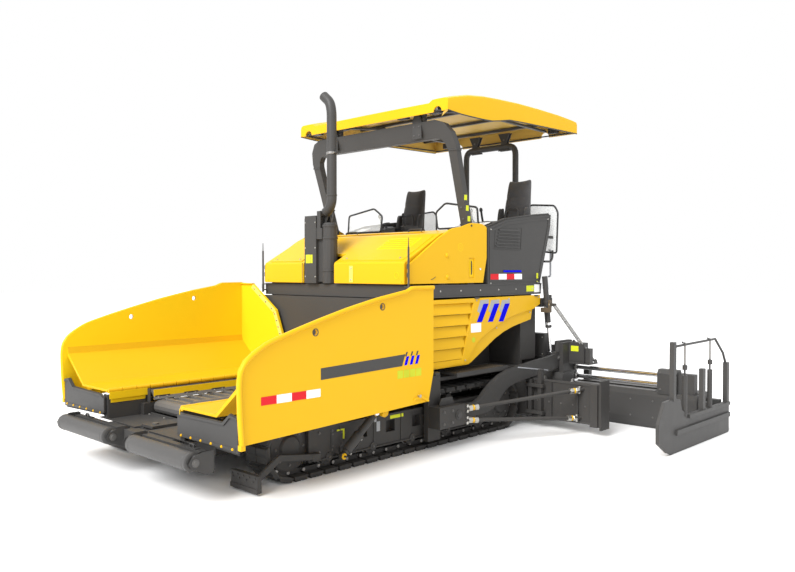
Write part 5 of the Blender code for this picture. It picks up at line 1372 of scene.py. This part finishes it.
# ============================================================ tow arm, braces, tow point, steps over the track
for s, t in SIDES:
    P = Part()
    # painted highlight: a silver strip along the arm's outer edge; bolts on the arm's outer face
    P.beam((s * 1.4030, 1.380, 0.762), (s * 1.4030, 2.050, 0.664), 0.005, 0.014, silver)
    for (y, z) in ((0.12, 0.37), (2.30, 0.55), (2.55, 0.55), (2.30, 0.80), (2.55, 0.80)):
        P.turned((s * 1.4006, y, z), (s, 0, 0), [(0, 0.030), (0.006, 0.030), (0.008, 0.018), (0.018, 0.018), (0.019, 0.0)], dark_bolt, n=20)
    P.done("tow_arm_details_" + t, "screed", bevel=0.0015, seg=1)

    P = Part()
    for (a, b) in (((1.455, 0.24, 0.41), (2.095, 1.731, 0.532)), ((1.455, 0.24, 0.29), (2.06, 1.731, 0.188))):
        A, B = Vector((s * a[0], a[1], a[2])), Vector((s * b[0], b[1], b[2]))
        d = (B - A).normalized(); ln = (B - A).length
        for k, (t0, t1) in enumerate(((0.045, 0.125), (0.875, 0.955))):
            p0, p1 = A + d * ln * t0, A + d * ln * t1
            P.turned(tuple(p0), tuple(d), [(0, 0.023), (0.004, 0.034), (0.05, 0.034), (0.056, 0.026),
                     ((p1 - p0).length - 0.05, 0.026), ((p1 - p0).length - 0.044, 0.034), ((p1 - p0).length - 0.004, 0.034),
                     ((p1 - p0).length, 0.023)], zinc, n=6)
            collar(P, p0 + d * ((p1 - p0).length * 0.5 - 0.011), d, 0.0255, 0.031, 0.022, yellow, n=12)
        for f in (0.04, 0.96):
            q = A + d * ln * f
            P.turned(tuple(q - Vector((0, 0, 0.045))), (0, 0, 1), [(0, 0.0), (0.0005, 0.017), (0.088, 0.017), (0.089, 0.0)], zinc, n=12)
    # flanges of the tunnel plate, bolts and ribs
    for z in (0.135, 0.585):
        P.box((s * 0.75, 1.7165, z - 0.012), (s * 2.19, 1.7219, z + 0.012), gray_cad)
    for k in range(9):
        P.bolt((s * (0.80 + 0.165 * k), 1.7219, 0.33), (0, -1, 0), 0.009, dark_bolt)
    for k in range(4):
        x = 0.95 + 0.36 * k
        P.box((s * (x - 0.006), 1.690, 0.16), (s * (x + 0.006), 1.7219, 0.56), gray_cad)
    P.done("brace_details_" + t, "tractor", bevel=0.002, seg=1)

    P = Part()
    # grating step on the deck over the track, under the side panel
    x0, x1, y0, y1 = 1.03, 1.325, 0.30, 1.28
    z = 0.775
    for x in (x0, x1):
        P.box((s * x - 0.007, y0, 0.7405), (s * x + 0.007, y1, z + 0.014), gray)
    for y in (y0, y1):
        P.box((min(s * x0, s * x1), y - 0.005, z - 0.014), (max(s * x0, s * x1), y + 0.005, z + 0.014), gray)
    n = 22
    for k in range(1, n):
        y = y0 + (y1 - y0) * k / n
        P.box((min(s * x0, s * x1), y - 0.003, z - 0.012), (max(s * x0, s * x1), y + 0.003, z + 0.012), grate_rod)
    for k in range(1, 4):
        x = x0 + (x1 - x0) * k / 4
        P.rod((s * x, y0, z + 0.006), (s * x, y1, z + 0.006), 0.005, grate_rod, n=8)
    P.done("step_grating_" + t, "tractor", bevel=0.0)

    P = Part()
    # tow point: pivot bolts, side plates' bolts, levelling sensor arm bracket
    for (y, z) in ((-0.12, 0.30), (-0.12, 0.43), (0.02, 0.43), (0.02, 0.30)):
        P.bolt((s * 1.5005, y, z), (s, 0, 0), 0.014, dark_bolt)
    P.turned((s * 1.5005, 0.12, 0.37), (s, 0, 0), [(0, 0.050), (0.010, 0.050), (0.012, 0.036), (0.026, 0.036), (0.028, 0.0)], gray, n=28)
    P.prism([(-0.10, 0.4805), (0.16, 0.4805), (0.12, 0.56), (-0.06, 0.56)], 'x', *sorted((s * 1.40, s * 1.414)), gray)
    P.rod((s * 1.3, -0.03, 0.8005), (s * 1.3, -0.03, 0.83), 0.05, gray, n=24)
    P.done("tow_point_details_" + t, "tractor", bevel=0.002, seg=1)

    P = Part()
    # track frame: cover plates, bolts, labels
    for y in (-1.40, -0.10, 0.30, 0.70):
        P.box((s * 1.2256, y - 0.075, 0.235) if s > 0 else (-1.2316, y - 0.075, 0.235),
              (1.2316, y + 0.075, 0.385) if s > 0 else (-1.2256, y + 0.075, 0.385), gray)
        for dy in (-0.058, 0.058):
            for dz in (-0.058, 0.058):
                P.bolt((s * 1.2316, y + dy, 0.31 + dz), (s, 0, 0), 0.009, dark_bolt)
    a, b = sorted((s * 1.2257, s * 1.2272))
    P.box((a, -0.66, 0.40), (b, -0.46, 0.452), label)
    P.box((a, -0.92, 0.40), (b, -0.86, 0.445), silver)
    for k in range(5):
        P.bolt((s * 0.99 + s * 0.085 * k, -2.4305, 0.145), (0, -1, 0), 0.010, gray)
    P.done("track_frame_plates_" + t, "tractor", bevel=0.0015, seg=1)

    # wing cylinder: gland, caps, clevis, hose
    P = Part()
    A, B = Vector((s * 1.33, -1.42, 0.167)), Vector((s * 1.38, -1.02, 0.540))
    d = (B - A).normalized()
    L0 = nodes_len = (B - A).length
    collar(P, A + d * 0.062, d, 0.0375, 0.0500, 0.205, gray)
    collar(P, A + d * 0.240, d, 0.0375, 0.0535, 0.030, gray)
    u = d.cross(Vector((1, 0, 0))).normalized()
    for q in (0.075, 0.25):
        p = A + d * q + u * 0.049
        P.turned(tuple(p), tuple(u), [(0, 0.013), (0.018, 0.013), (0.020, 0.0)], zinc, n=12)
    P.tube([tuple(A + d * 0.25 + u * 0.063), tuple(A + d * 0.22 + u * 0.072), tuple(A + d * 0.09 + u * 0.072),
            tuple(A + d * 0.075 + u * 0.060)], 0.007, hose, n=10, round_by=0.015)
    P.turned(tuple(A + Vector((s * 0.0205, 0, 0))), (s, 0, 0), [(0, 0.030), (0.010, 0.030), (0.012, 0.0)], yellow, n=20)
    P.done("wing_cylinder_details_" + t, "wing_cylinder_" + t, bevel=0.001, seg=1)

    # yellow rod end of the wing cylinder
    P = Part()
    collar(P, A + d * 0.435, d, 0.0225, 0.036, 0.075, yellow)
    P.done("wing_rod_end_" + t, "wing_piston_" + t, bevel=0.001, seg=1)

    # lift cylinder: gland, port blocks, hose
    P = Part()
    A, B = Vector((s * 1.30, 2.17, 1.52)), Vector((s * 1.30, 2.266, 0.86))
    d = (B - A).normalized(); u = Vector((0, -1, 0))
    u = (u - d * u.dot(d)).normalized()
    for q in (-0.02, 0.30):
        collar(P, A + d * q, d, 0.0355, 0.042, 0.030, gray)
    for q in (0.06, 0.28):
        P.turned(tuple(A + d * q + u * 0.0365), tuple(u), [(0, 0.013), (0.020, 0.013), (0.022, 0.0)], zinc, n=12)
    P.tube([tuple(A + d * 0.28 + u * 0.050), tuple(A + d * 0.26 + u * 0.064), tuple(A + d * 0.08 + u * 0.064),
            tuple(A + d * 0.06 + u * 0.050)], 0.008, hose, n=10, round_by=0.02)
    P.done("lift_cylinder_details_" + t, "lift_cylinder_" + t, bevel=0.001, seg=1)

    # auger: shaft end, flange bolts
    P = Part()
    P.turned((s * 2.0965, 2.00, 0.42), (s, 0, 0), [(0, 0.050), (0.02, 0.050), (0.022, 0.042)], steel, n=28)
    for k in range(6):
        a = k * pi / 3
        P.turned((s * 2.1187, 2.00 + 0.034 * cos(a), 0.42 + 0.034 * sin(a)), (s, 0, 0),
                 [(0, 0.006), (0.006, 0.006), (0.0065, 0.0)], zinc, n=6)
    P.done("auger_end_" + t, "auger_shaft_" + t, angle=40)

# ============================================================ screed
P = Part()
# heater and control boxes, guide collars
for s in (1, -1):
    P.box((min(s * 0.87, s * 1.17), 2.325, 0.7806), (max(s * 0.87, s * 1.17), 2.475, 1.10), gray)
    P.box((min(s * 0.885, s * 1.155), 2.3175, 0.81), (max(s * 0.885, s * 1.155), 2.3244, 1.07), gray)
    for dx in (0.90, 1.14):
        for z in (0.83, 1.05):
            P.bolt((s * dx, 2.3175, z), (0, -1, 0), 0.008, zinc)
    P.box((min(s * 0.40, s * 0.78), 2.34, 0.7806), (max(s * 0.40, s * 0.78), 2.46, 0.90), gray)
    # gas hoses along the top
    P.tube([(s * 0.30, 2.31, 0.80), (s * 0.60, 2.305, 0.812), (s * 0.86, 2.31, 0.80), (s * 1.19, 2.305, 0.80)],
           0.014, hose, n=12, round_by=0.05)
    P.tube([(s * 0.30, 2.285, 0.80), (s * 0.60, 2.280, 0.808), (s * 1.19, 2.285, 0.80)], 0.010, hose, n=10, round_by=0.05)
    # collars round the guide tubes
    for z in (0.55, 0.665):
        for x in (0.965, 1.465):
            collar(P, (s * x, 2.61, z), (s, 0, 0), 0.0285, 0.044, 0.026, steel, n=32)
    # control boxes at the outer end, carried on a shelf above the guides
    P.box((min(s * 1.425, s * 1.76), 2.445, 0.722), (max(s * 1.425, s * 1.76), 2.57, 0.736), gray)
    P.box((min(s * 1.44, s * 1.68), 2.46, 0.7366), (max(s * 1.44, s * 1.68), 2.56, 1.00), gray)
    P.box((min(s * 1.455, s * 1.665), 2.4545, 0.76), (max(s * 1.455, s * 1.665), 2.4594, 0.98), gray)
    P.box((min(s * 1.49, s * 1.60), 2.4525, 0.885), (max(s * 1.49, s * 1.60), 2.4539, 0.955), label)
    P.box((min(s * 1.69, s * 1.755), 2.47, 0.7366), (max(s * 1.69, s * 1.755), 2.55, 0.93), gray)
    P.rod((s * 1.50, 2.51, 1.0006), (s * 1.50, 2.51, 1.03), 0.014, black, n=14)
    P.rod((s * 1.60, 2.51, 1.0006), (s * 1.60, 2.51, 1.025), 0.016, red, n=14)
for x in (-0.15, 0.0, 0.15):
    P.bolt((x, 2.46, 0.9306), (0, 0, 1), 0.016, zinc)
for x in (-0.24, 0.24):
    P.bolt((x, 2.6206, 0.87), (0, 1, 0), 0.012, zinc)
# crown screw across the centre
P.rod((-0.26, 2.28, 0.86), (0.26, 2.28, 0.86), 0.022, steel, n=18)
for x in (-0.27, 0.27):
    P.turned((x, 2.28, 0.86), (1 if x > 0 else -1, 0, 0), [(-0.02, 0.036), (0.02, 0.036), (0.022, 0.0)], gray, n=6)
P.tube([(0.0, 2.28, 0.885), (0.0, 2.24, 0.93), (0.10, 2.235, 0.96)], 0.009, gray, n=10)
P.done("screed_fittings", "screed", bevel=0.003, seg=1)

for s, t in SIDES:
    # extension: ribs, walkway, wear strip, bolts
    P = Part()
    a, b = 1.45, 3.05
    P.box((min(s * 1.42, s * 3.09), 2.984, 0.05), (max(s * 1.42, s * 3.09), 2.990, 0.075), silver)
    for k in range(6):
        x = 1.55 + 0.29 * k
        P.box((s * x - 0.006, 2.9805, 0.08), (s * x + 0.006, 3.005, 0.44), gray)
        P.bolt((s * (x + 0.14), 2.5595, 0.14), (0, -1, 0), 0.010, dark_bolt)
        P.bolt((s * (x + 0.14), 2.5595, 0.34), (0, -1, 0), 0.010, dark_bolt)
    # tread plate on top with raised rim
    P.box((min(s * 1.44, s * 2.58), 2.575, 0.4606), (max(s * 1.44, s * 2.58), 2.965, 0.470), deck_mat)
    P.box((min(s * 2.90, s * 3.08), 2.72, 0.4606), (max(s * 2.90, s * 3.08), 2.965, 0.470), deck_mat)
    for y in (2.72, 2.965):
        P.box((min(s * 1.44, s * 2.58), y - 0.004, 0.4701), (max(s * 1.44, s * 2.58), y + 0.004, 0.485), gray)
    # bright skins on the guide tubes
    for z in (0.55, 0.665):
        collar(P, (s * 1.47, 2.61, z), (s, 0, 0), 0.0255, 0.0266, 1.148, chrome, n=32)
    for x in (2.66, 2.82):
        P.bolt((s * x, 2.5446, 0.50), (0, -1, 0), 0.011, dark_bolt)
        P.bolt((s * x, 2.5446, 0.70), (0, -1, 0), 0.011, dark_bolt)
    P.done("extension_fittings_" + t, "extension_" + t, bevel=0.002, seg=1)

    # end gate: cranks and jack screws
    P = Part()
    for y in (1.80, 2.49):
        P.rod((s * 3.2765, y, 0.92), (s * 3.2765, y, 1.155), 0.011, steel, n=14)
        P.tube([(s * 3.2765, y, 1.150), (s * 3.2765, y - 0.07, 1.158), (s * 3.2765, y - 0.07, 1.172)], 0.009, gray, n=10)
        P.turned((s * 3.2765, y, 0.86), (0, 0, 1), [(0, 0.026), (0.05, 0.026), (0.053, 0.012)], gray, n=16)
    a, b = sorted((s * 3.3134, s * 3.3190)) if s > 0 else sorted((s * 3.2394, s * 3.2340))
    xo = s * 3.3134
    for (y, z) in ((1.28, 0.10), (1.60, 0.07), (2.00, 0.07), (2.40, 0.07), (2.80, 0.07), (1.50, 0.33), (2.28, 0.33),
                   (2.98, 0.33), (2.28, 0.55), (2.98, 0.55)):
        pass
    P.done("end_gate_fittings_" + t, "extension_" + t, bevel=0.001, seg=1)

# ============================================================ stays and the brackets they lean to
for s, t in SIDES:
    P = Part()
    # diagonal double stay: it stands on the screed's outer end and leans forward to the tractor's rear bracket
    lo, hi = (1.715, 2.625, 0.765), (1.447, 2.105, 1.500)
    for dx in (-0.019, 0.019):
        P.rod((s * (lo[0] + dx), lo[1], lo[2]), (s * (hi[0] + dx), hi[1], hi[2]), 0.012, stay_paint, n=14)
    for k in range(1, 10):
        f = k / 10
        x, y, z = [a + (b - a) * f for a, b in zip(lo, hi)]
        P.rod((s * (x - 0.019), y, z), (s * (x + 0.019), y, z), 0.006, stay_paint, n=8)
    for (x, y, z) in (lo, hi):
        P.rod((s * (x - 0.032), y, z), (s * (x + 0.032), y, z), 0.016, gray, n=16)
    P.box((min(s * 1.66, s * 1.76), 2.5706, 0.722), (max(s * 1.66, s * 1.76), 2.67, 0.736), gray)
    P.prism([(2.585, 0.7366), (2.665, 0.7366), (2.655, 0.765), (2.625, 0.790), (2.595, 0.765)], 'x',
            *sorted((s * 1.7480, s * 1.7580)), gray)
    P.done("screed_stay_" + t, "screed", bevel=0.001, seg=1)
    P = Part()
    # the bracket it leans to, with its latch post
    P.box((min(s * 1.2620, s * 1.405), 2.085, 1.395), (max(s * 1.2620, s * 1.405), 2.125, 1.455), grate_rod)
    P.box((min(s * 1.375, s * 1.405), 2.085, 1.4556), (max(s * 1.375, s * 1.405), 2.125, 1.555), grate_rod)
    P.bolt((s * 1.390, 2.0850, 1.50), (0, -1, 0), 0.009, zinc)
    P.done("stay_bracket_" + t, "tractor", bevel=0.003, seg=1)

# ============================================================ hopper: chute plates under the hinges, front flaps
for s, t in SIDES:
    P = Part()
    # chute plate in the lighter copy of the yellow (painted light)
    P.box((min(s * 0.6150, s * 0.6194), -2.30, 0.585), (max(s * 0.6150, s * 0.6194), -0.445, 0.690), yellow_lightened)
    for k in range(6):
        y = -2.20 + 0.34 * k
        P.box((min(s * 0.6090, s * 0.6148), y - 0.085, 0.590), (max(s * 0.6090, s * 0.6148), y + 0.085, 0.628), gray)
        P.bolt((s * 0.6090, y - 0.05, 0.609), (-s, 0, 0), 0.008, zinc)
        P.bolt((s * 0.6090, y + 0.05, 0.609), (-s, 0, 0), 0.008, zinc)
    # lip along the front plate, just inboard of the hinge knuckles, in the lighter copy of the yellow (painted light),
    # and the plate that closes its rear end
    P.box((min(s * 0.6615, s * 0.6685), -2.756, 0.640), (max(s * 0.6615, s * 0.6685), -2.345, 0.7125), yellow_lightened)
    P.box((min(s * 0.6196, s * 0.6685), -2.3445, 0.565), (max(s * 0.6196, s * 0.6685), -2.331, 0.700), gray)
    P.done("hopper_chute_" + t, "tractor", bevel=0.001, seg=1)
    P = Part()
    a, b, c = s * 0.125, s * 0.860, s * 1.185
    P.box((min(a, b), -2.768, 0.4345), (max(a, b), -2.335, 0.4425), gray)
    P.box((min(b, c), -2.680, 0.4345), (max(b, c), -2.465, 0.4425), gray)
    P.prism([(-2.762, 0.4431), (-2.345, 0.4431), (-2.345, 0.688), (-2.755, 0.688), (-2.762, 0.680)], 'x',
            *sorted((s * 0.684, s * 0.692)), gray)
    P.box((min(s * 0.6926, s * 0.762), -2.768, 0.4431), (max(s * 0.6926, s * 0.762), -2.760, 0.686), gray)
    # strip in the lighter copy of the yellow (painted light)
    P.prism([(-2.735, 0.600), (-2.360, 0.600), (-2.360, 0.675), (-2.730, 0.675)], 'x',
            *sorted((s * 0.6790, s * 0.6836)), yellow_lightened)
    P.box((min(a, b), -2.335, 0.4345), (max(a, b), -2.318, 0.458), gray)
    for x in (0.30, 0.60, 0.90):
        P.bolt((s * x, -2.36, 0.4425), (0, 0, 1), 0.010, zinc)
    P.done("front_flap_" + t, "tractor", bevel=0.001, seg=1)

# ============================================================ engine block: ribs, pipes, cap
P = Part()
for k in range(7):
    z = 1.14 + 0.11 * k
    for s in (1, -1):
        P.box((min(s * 0.5006, s * 0.512), -0.10, z), (max(s * 0.5006, s * 0.512), 0.46, z + 0.018), gray)
for s in (1, -1):
    P.tube([(s * 0.53, -0.05, 1.20), (s * 0.53, 0.10, 1.20), (s * 0.53, 0.10, 1.75), (s * 0.53, 0.40, 1.75)],
           0.020, hose, n=14, round_by=0.06)
    P.turned((s * 0.5006, 0.33, 1.42), (s, 0, 0), [(0, 0.055), (0.07, 0.055), (0.075, 0.045), (0.076, 0.0)], yellow, n=28)
for x in (-0.30, -0.10, 0.10, 0.30):
    P.box((x - 0.06, -0.08, 1.9506), (x + 0.06, 0.44, 1.972), gray)
    P.turned((x, 0.18, 1.9726), (0, 0, 1), [(0, 0.022), (0.012, 0.020), (0.014, 0.0)], black, n=18)
P.done("engine_fittings", "tractor", bevel=0.003, seg=1)
